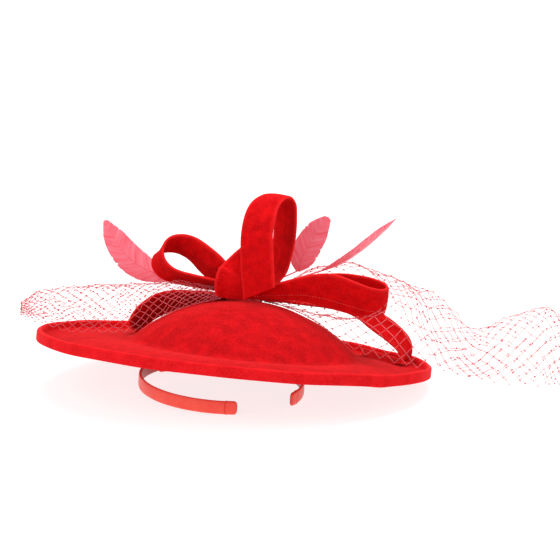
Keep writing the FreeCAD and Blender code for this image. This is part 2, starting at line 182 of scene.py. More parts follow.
def stretch(tree: bpy.types.NodeTree, value: bpy.types.NodeSocket, low: float, high: float,
            to_low: float = 0.0, to_high: float = 1.0) -> bpy.types.NodeSocket:
    """Maps a value from one range to another, clamped.

    Args:
        tree: the material's tree.
        value: the value's socket.
        low: start of its range.
        high: end of its range.
        to_low: result at the start.
        to_high: result at the end.

    Returns:
        The result's socket.
    """
    node = add_node(tree, "ShaderNodeMapRange", inputs={0: value, 1: low, 2: high, 3: to_low, 4: to_high})
    return node.outputs[0]


def grain(tree: bpy.types.NodeTree, size_mm: float, detail: float = 2.0,
          place: Optional[bpy.types.NodeSocket] = None) -> bpy.types.NodeSocket:
    """Noise whose patches are about this large.

    Args:
        tree: the material's tree.
        size_mm: size of a patch.
        detail: octaves of finer noise.
        place: coordinates in metres, or None for the object's own.

    Returns:
        The noise value's socket.
    """
    if place is None:
        place = add_node(tree, "ShaderNodeTexCoord").outputs["Object"]
    node = add_node(tree, "ShaderNodeTexNoise", inputs={
        "Vector": place, "Scale": 1.0 / (size_mm * MM), "Detail": detail, "Roughness": 0.55})
    return node.outputs["Fac"]


# ---- finishes ------------------------------------------------------------------------------------

@dataclass(frozen=True)
class Velvet:
    """Short-pile velvet: dark where it is looked into, bright where it turns from the view, with brushed nap
    and a painted highlight along a ribbon's edges.
    """

    name: str
    deep: str
    body: str
    bright: str
    nap_mm: float = 9.0
    pile_mm: float = 0.7     # drawn coarse: real pile is about 0.2 mm
    sheen: float = 0.04
    edge: float = 0.35
    glow: float = 0.3

    def make(self) -> bpy.types.Material:
        """Builds the material."""
        material, tree, shader = new_material(self.name)
        nap = stretch(tree, grain(tree, self.nap_mm, 3.0), 0.38, 0.66)
        pile = stretch(tree, grain(tree, self.pile_mm, 2.0), 0.3, 0.7)
        brushed = blend_colours(tree, nap, linear(self.deep), linear(self.body))
        fleck = stretch(tree, pile, 0.3, 1.0, 0.0, 0.34)
        flecked = blend_colours(tree, fleck, brushed, linear(self.bright))
        facing = add_node(tree, "ShaderNodeLayerWeight", inputs={"Blend": self.edge})
        turned = stretch(tree, facing.outputs["Facing"], 0.5, 1.0, 0.0, self.glow)
        # painted highlight: the "edge" attribute colours a ribbon's edges lighter, standing in for light on
        # the turned pile
        painted_light_marks = add_node(tree, "ShaderNodeAttribute", {"attribute_name": "edge"}).outputs["Fac"]
        painted_edge_highlight = stretch(tree, painted_light_marks, 0.0, 1.0, 0.0, 0.6)
        colour = blend_colours(tree, painted_edge_highlight, blend_colours(tree, turned, flecked, linear(self.bright)),
                               linear(self.bright))
        bump = add_node(tree, "ShaderNodeBump", inputs={
            "Strength": 0.12, "Distance": 0.3 * MM, "Height": pile})
        tree.links.new(colour, shader.inputs["Base Color"])
        tree.links.new(bump.outputs["Normal"], shader.inputs["Normal"])
        shader.inputs["Roughness"].default_value = 0.95
        shader.inputs["Specular IOR Level"].default_value = 0.03
        shader.inputs["Sheen Weight"].default_value = self.sheen
        shader.inputs["Sheen Roughness"].default_value = 0.45
        shader.inputs["Sheen Tint"].default_value = linear("ff9a96")
        return material


@dataclass(frozen=True)
class Satin:
    """Woven polyester satin drawn tight: a soft broad gloss, fine cross threads that only break it up, and
    painted shade on the face towards the head.
    """

    name: str = "woven satin"
    body: str = "ff553f"
    shade: str = "fb4a38"
    painted_inner_shade: str = "a8100e"   # painted shade on the face towards the head
    thread_mm: float = 0.45  # drawn coarse: real threads are about 0.1 mm

    def make(self) -> bpy.types.Material:
        """Builds the material."""
        material, tree, shader = new_material(self.name)
        wave = add_node(tree, "ShaderNodeTexWave", {"wave_type": "BANDS", "bands_direction": "Z"}, {
            "Scale": 0.314 / (self.thread_mm * MM), "Distortion": 1.2, "Detail": 1.0,
            "Vector": add_node(tree, "ShaderNodeTexCoord").outputs["Object"]})
        soft = stretch(tree, grain(tree, 6.0), 0.35, 0.65)
        # painted shade: the face towards the head is coloured darker
        inside = add_node(tree, "ShaderNodeAttribute", {"attribute_name": "edge"}).outputs["Fac"]
        colour = blend_colours(tree, inside, blend_colours(tree, soft, linear(self.shade), linear(self.body)),
                               linear(self.painted_inner_shade))
        bump = add_node(tree, "ShaderNodeBump", inputs={
            "Strength": 0.12, "Distance": 0.1 * MM, "Height": wave.outputs["Fac"]})
        tree.links.new(colour, shader.inputs["Base Color"])
        tree.links.new(bump.outputs["Normal"], shader.inputs["Normal"])
        shader.inputs["Roughness"].default_value = 0.42
        shader.inputs["Specular IOR Level"].default_value = 0.45
        shader.inputs["Sheen Weight"].default_value = 0.15
        return material


@dataclass(frozen=True)
class Woven:
    """Plain woven or pressed cloth, such as buckram, felt or sewing thread, with its fibre raised."""

    name: str
    body: str
    shade: str
    pitch_mm: float
    weave: bool = True
    roughness: float = 0.9

    def make(self) -> bpy.types.Material:
        """Builds the material."""
        material, tree, shader = new_material(self.name)
        if self.weave:
            place = add_node(tree, "ShaderNodeTexCoord").outputs["Object"]
            threads = [add_node(tree, "ShaderNodeTexWave", {"bands_direction": way}, {
                "Vector": place, "Scale": 0.314 / (self.pitch_mm * MM), "Distortion": 0.6}).outputs["Fac"]
                for way in ("X", "Y")]
            raised = add_node(tree, "ShaderNodeMath", {"operation": "MULTIPLY"},
                              {0: threads[0], 1: threads[1]}).outputs[0]
        else:
            raised = grain(tree, self.pitch_mm, 4.0)
        tone = stretch(tree, raised, 0.2, 0.8)
        bump = add_node(tree, "ShaderNodeBump", inputs={
            "Strength": 0.5, "Distance": 0.25 * MM, "Height": raised})
        colour = blend_colours(tree, tone, linear(self.shade), linear(self.body))
        tree.links.new(colour, shader.inputs["Base Color"])
        tree.links.new(bump.outputs["Normal"], shader.inputs["Normal"])
        shader.inputs["Roughness"].default_value = self.roughness
        shader.inputs["Sheen Weight"].default_value = 0.25
        return material


@dataclass(frozen=True)
class Plume:
    """Dyed goose feather: silky barbs that run out from the rachis, paler where they thin."""

    name: str = "dyed feather barbs"
    body: str = "ff7488"
    pale: str = "ff9cac"
    deep: str = "fd566c"
    barb_mm: float = 0.7     # drawn coarse: real barbs are about 0.3 mm apart

    def make(self) -> bpy.types.Material:
        """Builds the material."""
        material, tree, shader = new_material(self.name)
        place = add_node(tree, "ShaderNodeUVMap", {"uv_map": "barbs"}).outputs["UV"]
        wave = add_node(tree, "ShaderNodeTexWave", {"bands_direction": "X"}, {
            "Vector": place, "Scale": 0.314 / (self.barb_mm * MM), "Distortion": 2.5, "Detail": 2.0,
            "Detail Scale": 0.6})
        streak_place = add_node(tree, "ShaderNodeMapping", inputs={
            "Vector": place, "Scale": (1.0, 0.12, 1.0)})
        streak = stretch(tree, grain(tree, 3.0, 3.0, streak_place.outputs["Vector"]), 0.3, 0.7)
        tone = blend_colours(tree, streak, linear(self.deep), linear(self.pale))
        barbs = stretch(tree, wave.outputs["Fac"], 0.0, 1.0, 0.0, 0.5)
        colour = blend_colours(tree, barbs, tone, linear(self.body))
        bump = add_node(tree, "ShaderNodeBump", inputs={
            "Strength": 0.35, "Distance": 0.2 * MM, "Height": wave.outputs["Fac"]})
        tree.links.new(colour, shader.inputs["Base Color"])
        tree.links.new(bump.outputs["Normal"], shader.inputs["Normal"])
        shader.inputs["Roughness"].default_value = 0.55
        shader.inputs["Sheen Weight"].default_value = 0.3
        shader.inputs["Specular IOR Level"].default_value = 0.3
        shader.inputs["Subsurface Weight"].default_value = 0.15
        shader.inputs["Subsurface Radius"].default_value = (0.004, 0.001, 0.001)
        return material


@dataclass(frozen=True)
class Plain:
    """A hard or thread-like finish with a faint mottle: quill, wire, moulded plastic and fine net thread."""

    name: str
    body: str
    shade: str
    roughness: float
    metallic: float = 0.0
    alpha: float = 1.0
    mottle_mm: float = 2.0

    def make(self) -> bpy.types.Material:
        """Builds the material. A see-through one keeps a plain colour on its shader."""
        material, tree, shader = new_material(self.name)
        if self.alpha < 1.0:
            shader.inputs["Base Color"].default_value = linear(self.body)
            shader.inputs["Alpha"].default_value = self.alpha
        else:
            tone = stretch(tree, grain(tree, self.mottle_mm, 3.0), 0.35, 0.65)
            colour = blend_colours(tree, tone, linear(self.shade), linear(self.body))
            tree.links.new(colour, shader.inputs["Base Color"])
        shader.inputs["Roughness"].default_value = self.roughness
        shader.inputs["Metallic"].default_value = self.metallic
        return material


@dataclass
class Wardrobe:
    """Every finish of the object, made once."""

    hat_velvet: bpy.types.Material = field(init=False)
    lit_rim_velvet: bpy.types.Material = field(init=False)
    ribbon_velvet: bpy.types.Material = field(init=False)
    satin: bpy.types.Material = field(init=False)
    buckram: bpy.types.Material = field(init=False)
    felt: bpy.types.Material = field(init=False)
    thread: bpy.types.Material = field(init=False)
    stitch: bpy.types.Material = field(init=False)
    plume: bpy.types.Material = field(init=False)
    quill: bpy.types.Material = field(init=False)
    wire: bpy.types.Material = field(init=False)
    plastic: bpy.types.Material = field(init=False)
    net: bpy.types.Material = field(init=False)
    knot: bpy.types.Material = field(init=False)

    def __post_init__(self) -> None:
        """Makes the materials."""
        self.hat_velvet = Velvet("hat velvet", "a60209", "c0060e", "fa3438").make()
        # painted light: the rim is the hat's velvet painted lighter, with a stronger grazing glow, for the
        # light that catches the rolled edge
        self.lit_rim_velvet = Velvet("rim velvet", "cc0810", "e0121a", "ff4246", nap_mm=14.0, glow=0.6).make()
        self.ribbon_velvet = Velvet("ribbon velvet", "b80309", "d2080e", "fa2e30", nap_mm=7.0,
                                    glow=0.38).make()
        self.satin = Satin().make()
        self.buckram = Woven("stiffened buckram", "c81820", "8a0c12", 1.2).make()
        self.felt = Woven("pressed felt", "c8141c", "9a0a10", 0.8, weave=False).make()
        self.thread = Woven("sewing thread", "d81a22", "a00c12", 0.5, weave=False).make()
        self.stitch = Woven("hem stitching", "f0484a", "c8181c", 0.4, weave=False).make()
        self.plume = Plume().make()
        self.quill = Plain("stripped quill", "fa6a7e", "e8566a", 0.45).make()
        self.wire = Plain("millinery wire", "b8b8ba", "8c8c90", 0.35, metallic=1.0).make()
        self.plastic = Plain("moulded headband plastic", "c02020", "a01818", 0.4).make()
        self.net = Plain("veil net thread", "ff8c92", "ff8c92", 0.6, alpha=0.45).make()
        self.knot = Plain("veil net knot", "d8304a", "d8304a", 0.6, alpha=0.75).make()


# ---- meshes --------------------------------------------------------------------------------------

@dataclass(frozen=True)
class HatFrame:
    """The hat's own frame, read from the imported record's crown_base mount."""

    origin: Vector
    right: Vector
    back: Vector
    up: Vector

    @classmethod
    def from_record(cls, record: dict) -> "HatFrame":
        """Works out the frame.

        Args:
            record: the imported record.

        Returns:
            The frame, in metres.
        """
        mount = next(m for m in record["mounts"] if m["name"] == "crown_base")
        up = Vector(mount["axis"]).normalized()
        roll = math.asin(up.x)
        pitch = math.atan2(up.y, up.z)
        right = Vector((math.cos(roll), -math.sin(roll) * math.sin(pitch),
                        -math.sin(roll) * math.cos(pitch)))
        return cls(Vector(mount["pos_m"]), right, up.cross(right).normalized(), up)

    def at(self, x: float, y: float, z: float) -> Vector:
        """A point in metres from hat millimetres."""
        return self.origin + (self.right * x + self.back * y + self.up * z) * MM

    def seat(self, point: Point) -> Vector:
        """A point in metres from side, rise and back, with the rise read on the leaning face."""
        lean = math.radians(FACE_LEAN_DEG)
        side, rise, back = point
        return self.at(side, back, (rise - back * math.sin(lean)) / math.cos(lean))


def smooth_path(points: Sequence[Vector], steps: int) -> list[Vector]:
    """A Catmull-Rom curve through the points.

    Args:
        points: the points, in order.
        steps: samples for each span.

    Returns:
        The sampled curve, ends included.
    """
    ends = [points[0] * 2 - points[1]] + list(points) + [points[-1] * 2 - points[-2]]
    curve = []
    for i in range(1, len(ends) - 2):
        p0, p1, p2, p3 = ends[i - 1:i + 3]
        for step in range(steps):
            t = step / steps
            curve.append(0.5 * (2 * p1 + (p2 - p0) * t + (2 * p0 - 5 * p1 + 4 * p2 - p3) * t * t
                                + (3 * p1 - p0 - 3 * p2 + p3) * t ** 3))
    return curve + [points[-1].copy()]


def heading(path: Sequence[Vector], i: int) -> Vector:
    """The direction of a path at one of its points."""
    return (path[min(i + 1, len(path) - 1)] - path[max(i - 1, 0)]).normalized()


def round_angles(count: int) -> list[float]:
    """This many equal steps round a circle, in radians."""
    return [2 * math.pi * i / count for i in range(count)]


def mesh_object(name: str, verts: Sequence[Vector], faces: Sequence[Sequence[int]],
                edges: Sequence[Sequence[int]] = ()) -> bpy.types.Object:
    """Makes a smooth-shaded mesh object at the origin.

    Args:
        name: the piece's name.
        verts: points in metres.
        faces: faces by point number.
        edges: loose edges by point number.

    Returns:
        The object.
    """
    mesh = bpy.data.meshes.new(name)
    mesh.from_pydata([tuple(v) for v in verts], [tuple(e) for e in edges], [tuple(f) for f in faces])
    mesh.polygons.foreach_set("use_smooth", [True] * len(mesh.polygons))
    piece = bpy.data.objects.new(name, mesh)
    bpy.context.scene.collection.objects.link(piece)
    return piece


def face_outwards(piece: bpy.types.Object) -> None:
    """Merges doubled points and turns every face of a closed piece outwards."""
    work = bmesh.new()
    work.from_mesh(piece.data)
    bmesh.ops.remove_doubles(work, verts=work.verts, dist=1e-6)
    bmesh.ops.recalc_face_normals(work, faces=work.faces)
    work.to_mesh(piece.data)
    work.free()


def skin(name: str, rings: Sequence[Ring], loop: bool = False,
         painted_light_marks: Sequence[float] = ()) -> bpy.types.Object:
    """Skins closed rings into a tube, with its ends capped or joined.

    Args:
        name: the piece's name.
        rings: rings with the same number of points, in order.
        loop: join the last ring to the first instead of capping.
        painted_light_marks: for each point of a ring, how much painted highlight or painted shade it gets,
            kept as the "edge" attribute.

    Returns:
        The closed piece.
    """
    count = len(rings[0])
    verts = [v for ring in rings for v in ring]
    faces = []
    for i in range(len(rings) if loop else len(rings) - 1):
        a = i * count
        b = ((i + 1) % len(rings)) * count
        faces += [(a + j, a + (j + 1) % count, b + (j + 1) % count, b + j) for j in range(count)]
    if not loop:
        for first in (0, (len(rings) - 1) * count):
            verts.append(sum((verts[first + j] for j in range(count)), Vector()) / count)
            faces += [(first + j, first + (j + 1) % count, len(verts) - 1) for j in range(count)]
    piece = mesh_object(name, verts, faces)
    if painted_light_marks:
        marks = list(painted_light_marks) * len(rings)
        marks += [0.0] * (len(verts) - len(marks))
        piece.data.attributes.new("edge", "FLOAT", "POINT").data.foreach_set("value", marks)
    face_outwards(piece)
    return piece


def lathe(name: str, section: Sequence[tuple[float, float]], segments: int,
          place: Callable[[float, float, float], Vector]) -> bpy.types.Object:
    """Turns a closed section of radius and height round the hat's upright.

    Args:
        name: the piece's name.
        section: the closed section, in order, its poles at radius 0.
        segments: steps round.
        place: gives the point in metres for a radius, a height and an angle.

    Returns:
        The closed piece.
    """
    rings = [[place(r, z, 2 * math.pi * i / segments) for r, z in section] for i in range(segments)]
    return skin(name, rings, loop=True)


def strip_section(width: float, thick: float, seam: float, across: int = 12) -> list[tuple[float, float]]:
    """The section of a folded ribbon: flat faces, round edges and a sewn seam down the inside.

    Args:
        width: across the ribbon.
        thick: through the ribbon.
        seam: depth of the seam.
        across: points on each face.

    Returns:
        Points as across and through.
    """
    half = thick / 2
    flat = width / 2 - half
    outer = [(-flat + 2 * flat * i / across, half) for i in range(across + 1)]
    right = [(flat + half * math.sin(a), half * math.cos(a))
             for a in (math.pi / 4, math.pi / 2, 3 * math.pi / 4)]
    inner = [(flat - 2 * flat * i / across, -half) for i in range(across + 1)]
    middle = len(inner) // 2
    inner[middle:middle + 1] = [(0.9, -half - 0.25 * seam), (0.35, -half - 0.1 * seam), (0.0, -half + seam),
                                (-0.35, -half - 0.1 * seam), (-0.9, -half - 0.25 * seam)]
    left = [(-x, y) for x, y in reversed(right)]
    return outer + right + inner + left


def finish_piece(piece: bpy.types.Object, body: Body, slot: Slot, material: bpy.types.Material,
                 *nodes: str) -> bpy.types.Object:
    """Dresses a piece, sets what it rides on and what it stands for, and reports it.

    Args:
        piece: the finished piece.
        body: the body it rides on.
        slot: the record's slot; not used.
        material: its finish.
        nodes: the CAD nodes that it replaces.

    Returns:
        The piece.
    """
    piece.data.materials.clear()
    piece.data.materials.append(material)
    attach(piece, body.value)
    if nodes:
        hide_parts(*nodes)
    LOG.info("%s: %d faces on %s", piece.name, len(piece.data.polygons), body.value)
    return piece


# ---- geometry node trees -------------------------------------------------------------------------

def new_tree(name: str, sockets: Sequence[tuple[str, str, object]]) -> bpy.types.NodeTree:
    """Starts a geometry tree with a Geometry in and out and the named inputs.

    Args:
        name: the tree's name.
        sockets: each input's name, socket type and default.

    Returns:
        The tree.
    """
    tree = bpy.data.node_groups.new(name, "GeometryNodeTree")
    tree.interface.new_socket("Geometry", in_out="INPUT", socket_type="NodeSocketGeometry")
    for label, kind, value in sockets:
        socket = tree.interface.new_socket(label, in_out="INPUT", socket_type=kind)
        if value is not None:
            socket.default_value = value
    tree.interface.new_socket("Geometry", in_out="OUTPUT", socket_type="NodeSocketGeometry")
    return tree


def close_tree(tree: bpy.types.NodeTree, source: bpy.types.Node, geometry: bpy.types.NodeSocket) -> None:
    """Ends a tree in Realize Instances and Set Material.

    Args:
        tree: the tree.
        source: its group input.
        geometry: what it has made.
    """
    real = add_node(tree, "GeometryNodeRealizeInstances", inputs={"Geometry": geometry})
    dressed = add_node(tree, "GeometryNodeSetMaterial", inputs={
        "Geometry": real.outputs["Geometry"], "Material": source.outputs["Material"]})
    add_node(tree, "NodeGroupOutput", inputs={0: dressed.outputs["Geometry"]})


def thread_tree() -> bpy.types.NodeTree:
    """Loose edges in, round threads out."""
    tree = new_tree("threads along edges", [("Thread Radius", "NodeSocketFloat", 0.0003),
                                            ("Sides", "NodeSocketInt", 4),
                                            ("Material", "NodeSocketMaterial", None)])
    source = add_node(tree, "NodeGroupInput")
    lines = add_node(tree, "GeometryNodeMeshToCurve", inputs={"Mesh": source.outputs["Geometry"]})
    ring = add_node(tree, "GeometryNodeCurvePrimitiveCircle", {"mode": "RADIUS"}, {
        "Resolution": source.outputs["Sides"], "Radius": source.outputs["Thread Radius"]})
    tubes = add_node(tree, "GeometryNodeCurveToMesh", inputs={
        "Curve": lines.outputs["Curve"], "Profile Curve": ring.outputs["Curve"], "Fill Caps": True})
    close_tree(tree, source, tubes.outputs["Mesh"])
    return tree


def knot_tree() -> bpy.types.NodeTree:
    """Points in, small uneven knots out."""
    tree = new_tree("knots on points", [("Knot Radius", "NodeSocketFloat", 0.0007),
                                        ("Unevenness", "NodeSocketFloat", 0.3),
                                        ("Seed", "NodeSocketInt", 5),
                                        ("Material", "NodeSocketMaterial", None)])
    source = add_node(tree, "NodeGroupInput")
    ball = add_node(tree, "GeometryNodeMeshIcoSphere", inputs={
        "Radius": source.outputs["Knot Radius"], "Subdivisions": 1})
    uneven = source.outputs["Unevenness"]
    least = add_node(tree, "ShaderNodeMath", {"operation": "SUBTRACT"}, {0: 1.0, 1: uneven})
    most = add_node(tree, "ShaderNodeMath", {"operation": "ADD"}, {0: 1.0, 1: uneven})
    scale = add_node(tree, "FunctionNodeRandomValue", {"data_type": "FLOAT"}, {
        2: least.outputs[0], 3: most.outputs[0], "Seed": source.outputs["Seed"]})
    set_on = add_node(tree, "GeometryNodeInstanceOnPoints", inputs={
        "Points": source.outputs["Geometry"], "Instance": ball.outputs["Mesh"], "Scale": scale.outputs[1]})
    close_tree(tree, source, set_on.outputs["Instances"])
    return tree


def stitch_tree() -> bpy.types.NodeTree:
    """A path in, a row of stitches out."""
    tree = new_tree("stitches along a path", [("Pitch", "NodeSocketFloat", 0.0026),
                                              ("Stitch Length", "NodeSocketFloat", 0.0018),
                                              ("Thread Thickness", "NodeSocketFloat", 0.0005),
                                              ("Material", "NodeSocketMaterial", None)])
    source = add_node(tree, "NodeGroupInput")
    line = add_node(tree, "GeometryNodeMeshToCurve", inputs={"Mesh": source.outputs["Geometry"]})
    spots = add_node(tree, "GeometryNodeCurveToPoints", {"mode": "LENGTH"}, {
        "Curve": line.outputs["Curve"], "Length": source.outputs["Pitch"]})
    bead = add_node(tree, "GeometryNodeMeshUVSphere", inputs={"Segments": 6, "Rings": 5, "Radius": 0.5})
    shape = add_node(tree, "ShaderNodeCombineXYZ", inputs={
        "X": source.outputs["Thread Thickness"], "Y": source.outputs["Thread Thickness"],
        "Z": source.outputs["Stitch Length"]})
    row = add_node(tree, "GeometryNodeInstanceOnPoints", inputs={
        "Points": spots.outputs["Points"], "Instance": bead.outputs["Mesh"],
        "Rotation": spots.outputs["Rotation"], "Scale": shape.outputs["Vector"]})
    close_tree(tree, source, row.outputs["Instances"])
    return tree


def grow(piece: bpy.types.Object, tree: bpy.types.NodeTree, values: dict) -> bpy.types.Object:
    """Runs a geometry tree on a piece and keeps the result as its plain mesh.

    Args:
        piece: holds the edges or points that the tree reads.
        tree: the geometry tree.
        values: the tree's inputs by name.

    Returns:
        The same piece with the result in place of its mesh.
    """
    modifier = piece.modifiers.new(tree.name, "NODES")
    modifier.node_group = tree
    for item in tree.interface.items_tree:
        if item.item_type == "SOCKET" and item.in_out == "INPUT" and item.name in values:
            modifier[item.identifier] = values[item.name]
    bpy.context.view_layer.update()
    made = bpy.data.meshes.new_from_object(piece.evaluated_get(bpy.context.evaluated_depsgraph_get()))
    piece.modifiers.remove(modifier)
    piece.data = made
    made.name = piece.name
    made.polygons.foreach_set("use_smooth", [True] * len(made.polygons))
    return piece


@dataclass
class Trees:
    """The geometry trees, each built once."""

    threads: bpy.types.NodeTree = field(default_factory=thread_tree)
    knots: bpy.types.NodeTree = field(default_factory=knot_tree)
    stitches: bpy.types.NodeTree = field(default_factory=stitch_tree)


# ---- saucer and crown ----------------------------------------------------------------------------

@dataclass
class Saucer:
    """The brim: velvet over and under a stiff saucer, with a rolled velvet edge."""

    hat: HatFrame
    wardrobe: Wardrobe
    flat: float = 97.0
    shoulder: float = 110.0
    fall_deg: float = 12.0
    run: float = 11.4
    upturn: float = 38.0
    upturn_deg: float = 26.0
    tuck: float = 1.9        # how far the covers run on into the rolled edge
    velvet: float = 0.9
    buckram: float = 1.6
    rim_radius: float = 150.9
    rim_thick: float = 3.6
    rim_top: float = 1.0
    rim_depth: float = 9.3
    segments: int = 220
    rim_segments: int = 420
    cover_radius: float = 148.5      # reach of a cover
    cover_cut_m: float = 0.31        # side of the square that a cover is cut from

    def top_line(self, offset: float) -> list[tuple[float, float]]:
        """The saucer's section this far under its top surface, from the middle out."""
        line = [(self.flat * i / 8, -offset) for i in range(9)]
        radius, height, heading = self.flat, 0.0, 0.0
        for bend, turn in ((self.shoulder, -self.fall_deg), (0.0, self.run),
                           (self.upturn, self.upturn_deg), (0.0, self.tuck)):
            for _ in range(8):
                if bend == 0.0:
                    radius += turn / 8 * math.cos(heading)
                    height += turn / 8 * math.sin(heading)
                else:
                    step = math.radians(turn / 8)
                    chord = abs(2 * bend * math.sin(step / 2))
                    radius += chord * math.cos(heading + step / 2)
                    height += chord * math.sin(heading + step / 2)
                    heading += step
                line.append((radius + offset * math.sin(heading), height - offset * math.cos(heading)))
        return line

    def point(self, radius: float, height: float, angle: float) -> Vector:
        """A point of the brim, with the slow unevenness of a hand-blocked saucer."""
        x, y = radius * math.cos(angle), radius * math.sin(angle)
        sway = noise.noise(Vector((x, y, 3.0)) / 55.0) * 0.9 * max(0.0, (radius - 90.0) / 60.0)
        return self.hat.at(x, y, height + sway)

    def layer(self, name: str, top: float, slot: Slot) -> bpy.types.Object:
        """One velvet layer of the saucer, from this far under its top."""
        section = self.top_line(top) + self.top_line(top + self.velvet)[::-1]
        piece = lathe(name, section, self.segments, self.point)
        return finish_piece(piece, Body.HAT, slot, self.wardrobe.hat_velvet, name)

    def rim_point(self, across: float, height: float, angle: float) -> Vector:
        """A point of the rolled edge: it puckers a little and is fuller where its ends are joined."""
        pucker = noise.noise(Vector((math.cos(angle) * 4.0, math.sin(angle) * 4.0, 0.7)))
        fine = noise.noise(Vector((math.cos(angle) * 13.0, math.sin(angle) * 13.0, height / 9.0)))
        join = math.exp(-((angle - math.radians(318.0)) / 0.07) ** 2)
        middle = self.rim_top - self.rim_depth / 2
        fuller = 1.0 + 0.07 * pucker + 0.05 * fine + 0.16 * join
        reach = self.rim_radius + (across - self.rim_radius) * fuller + 0.35 * pucker
        rise = middle + (height - middle) * (1.0 + 0.06 * pucker + 0.05 * join) + 0.45 * pucker - 0.5 * join
        x, y = reach * math.cos(angle), reach * math.sin(angle)
        sway = noise.noise(Vector((x, y, 3.0)) / 55.0) * 0.9
        return self.hat.at(x, y, rise + sway)

    def rolled_edge(self) -> bpy.types.Object:
        """The velvet rolled over the brim's wired edge."""
        half = self.rim_thick / 2
        high, low = self.rim_top - half, self.rim_top - self.rim_depth + half
        section = []
        for start, middle in ((0.0, high), (math.pi, low)):
            for i in range(9):
                angle = start + math.pi * i / 8
                section.append((self.rim_radius + half * math.cos(angle), middle + half * math.sin(angle)))
        plump = [(r + 0.35 * math.copysign(1.0, r - self.rim_radius) * max(0.0, 1.0 - abs(z + 3.6) / 4.0), z)
                 for r, z in section]
        piece = lathe("brim_edge_roll", plump, self.rim_segments, self.rim_point)
        # the roll's velvet is painted lighter for the light on it
        return finish_piece(piece, Body.HAT, Slot.RIM, self.wardrobe.lit_rim_velvet, "brim_edge_binding")

    def build(self) -> None:
        top = self.layer("brim_top_cover", 0.0, Slot.VELVET)
        under = self.layer("brim_underside_cover", self.velvet + self.buckram, Slot.VELVET)
        self.rolled_edge()


@dataclass
class Crown:
    """The domed crown's velvet."""

    hat: HatFrame
    wardrobe: Wardrobe
    sphere: float = 125.5
    height: float = 37.0
    shift: float = 8.0
    velvet: float = 0.9
    cove: float = 4.5        # height over which the velvet sweeps out to the brim
    segments: int = 160
    cover_cut_m: float = 0.2         # side of the square that the cover is cut from

    def point(self, radius: float, height: float, angle: float) -> Vector:
        """A point of the dome, drawn down a little unevenly where the velvet is pulled to its foot."""
        x, y = radius * math.cos(angle), radius * math.sin(angle)
        slack = (noise.noise(Vector((x, y, 1.0)) / 34.0) * 0.7
                 + noise.noise(Vector((x, y, 9.0)) / 15.0) * 0.22)
        gathers = noise.noise(Vector((math.cos(angle) * 7, math.sin(angle) * 7, 2.0)))
        pull = gathers * 0.5 * (radius / 89.0) ** 4
        lift = (slack + pull) * min(1.0, height / 3.0)
        return self.hat.at(x + self.shift, y, height + lift)

    def build(self) -> None:
        """Builds the cover."""
        centre = self.height - self.sphere
        inner = self.sphere - self.velvet
        foot = math.acos(-centre / self.sphere)
        foot_in = math.acos(-centre / inner)
        steps = 48
        section = []
        for i in range(steps + 1):
            angle = foot * i / steps
            height = centre + self.sphere * math.cos(angle)
            low = max(0.0, 1.0 - height / self.cove)
            section.append((self.sphere * math.sin(angle) + 0.75 * self.cove * low ** 2,
                            height * (1.0 - low ** 1.5) - 0.1 * low))
        section.append((section[-1][0] + 2.0, -0.5))
        section += [(inner * math.sin(foot_in * i / steps), centre + inner * math.cos(foot_in * i / steps))
                    for i in range(steps, -1, -1)]
        piece = lathe("crown_cover", section, self.segments, self.point)
        finish_piece(piece, Body.HAT, Slot.VELVET, self.wardrobe.hat_velvet, "crown_cover")


# ---- bow -----------------------------------------------------------------------------------------

@dataclass
class Ribbon:
    """One loop of folded velvet ribbon, led through pairs of edge points."""

    name: str
    pairs: list[Pair]
    hem: float = 0.0         # hem stitch from the second edge, as a share of the width, or 0 for none
    steps: int = 10

    def length(self, hat: HatFrame) -> float:
        """The loop's length in metres along its middle."""
        middle = smooth_path([(hat.seat(a) + hat.seat(b)) / 2 for a, b in self.pairs], self.steps)
        return sum((b - a).length for a, b in zip(middle, middle[1:]))

    def rings(self, hat: HatFrame) -> list[Ring]:
        """The sections of the ribbon along its path, in metres."""
        first = smooth_path([hat.seat(a) for a, _ in self.pairs], self.steps)
        second = smooth_path([hat.seat(b) for _, b in self.pairs], self.steps)
        rings = []
        count = len(first)
        side = None
        turn = self.seam_side(first, second)
        for i in range(count):
            middle = (first[i] + second[i]) / 2
            ahead = (first[min(i + 1, count - 1)] + second[min(i + 1, count - 1)]
                     - first[max(i - 1, 0)] - second[max(i - 1, 0)]).normalized()
            across = second[i] - first[i]
            width = across.length / MM
            across.normalize()
            face = ahead.cross(across).normalized()
            if side is not None and face.dot(side) < 0:
                face = -face
            side = face
            ring = []
            for at, through in strip_section(width, RIBBON_THICK, RIBBON_SEAM):
                share = at / width
                cup = 0.9 * (4 * share * share - 0.33)
                ripple = 0.3 * noise.noise(middle / MM / 11.0 + Vector((share * 3.0, 0, 0)))
                ring.append(middle + across * (at * MM) + face * ((turn * through + cup + ripple) * MM))
            rings.append(ring)
        return rings

    def seam_side(self, first: list[Vector], second: list[Vector]) -> float:
        """1 when the section's seam side already faces into the loop, and -1 when it must be turned."""
        middles = [(a + b) / 2 for a, b in zip(first, second)]
        centre = sum(middles, Vector()) / len(middles)
        facing = 0.0
        for i in range(1, len(middles) - 1):
            face = (middles[i + 1] - middles[i - 1]).cross(second[i] - first[i]).normalized()
            facing -= face.dot(centre - middles[i])
        return 1.0 if facing > 0.0 else -1.0

    def painted_light_marks(self) -> list[float]:
        """How far each point of the ribbon's section is an edge, where a highlight is painted on the pile."""
        half = RIBBON_WIDTH / 2
        return [max(0.0, (abs(at) / half - 0.8) / 0.2) ** 1.5
                for at, _ in strip_section(RIBBON_WIDTH, RIBBON_THICK, RIBBON_SEAM)]

    def hem_line(self, rings: list[Ring]) -> list[Vector]:
        """Points just over the outer face, along the hem."""
        column = round((1.0 - self.hem) * 12)
        line = []
        for ring in rings[4:-4]:
            inner = ring[len(ring) - 4 - column]
            line.append(ring[column] + (ring[column] - inner).normalized() * (0.12 * MM))
        return line[:len(line) // 2]


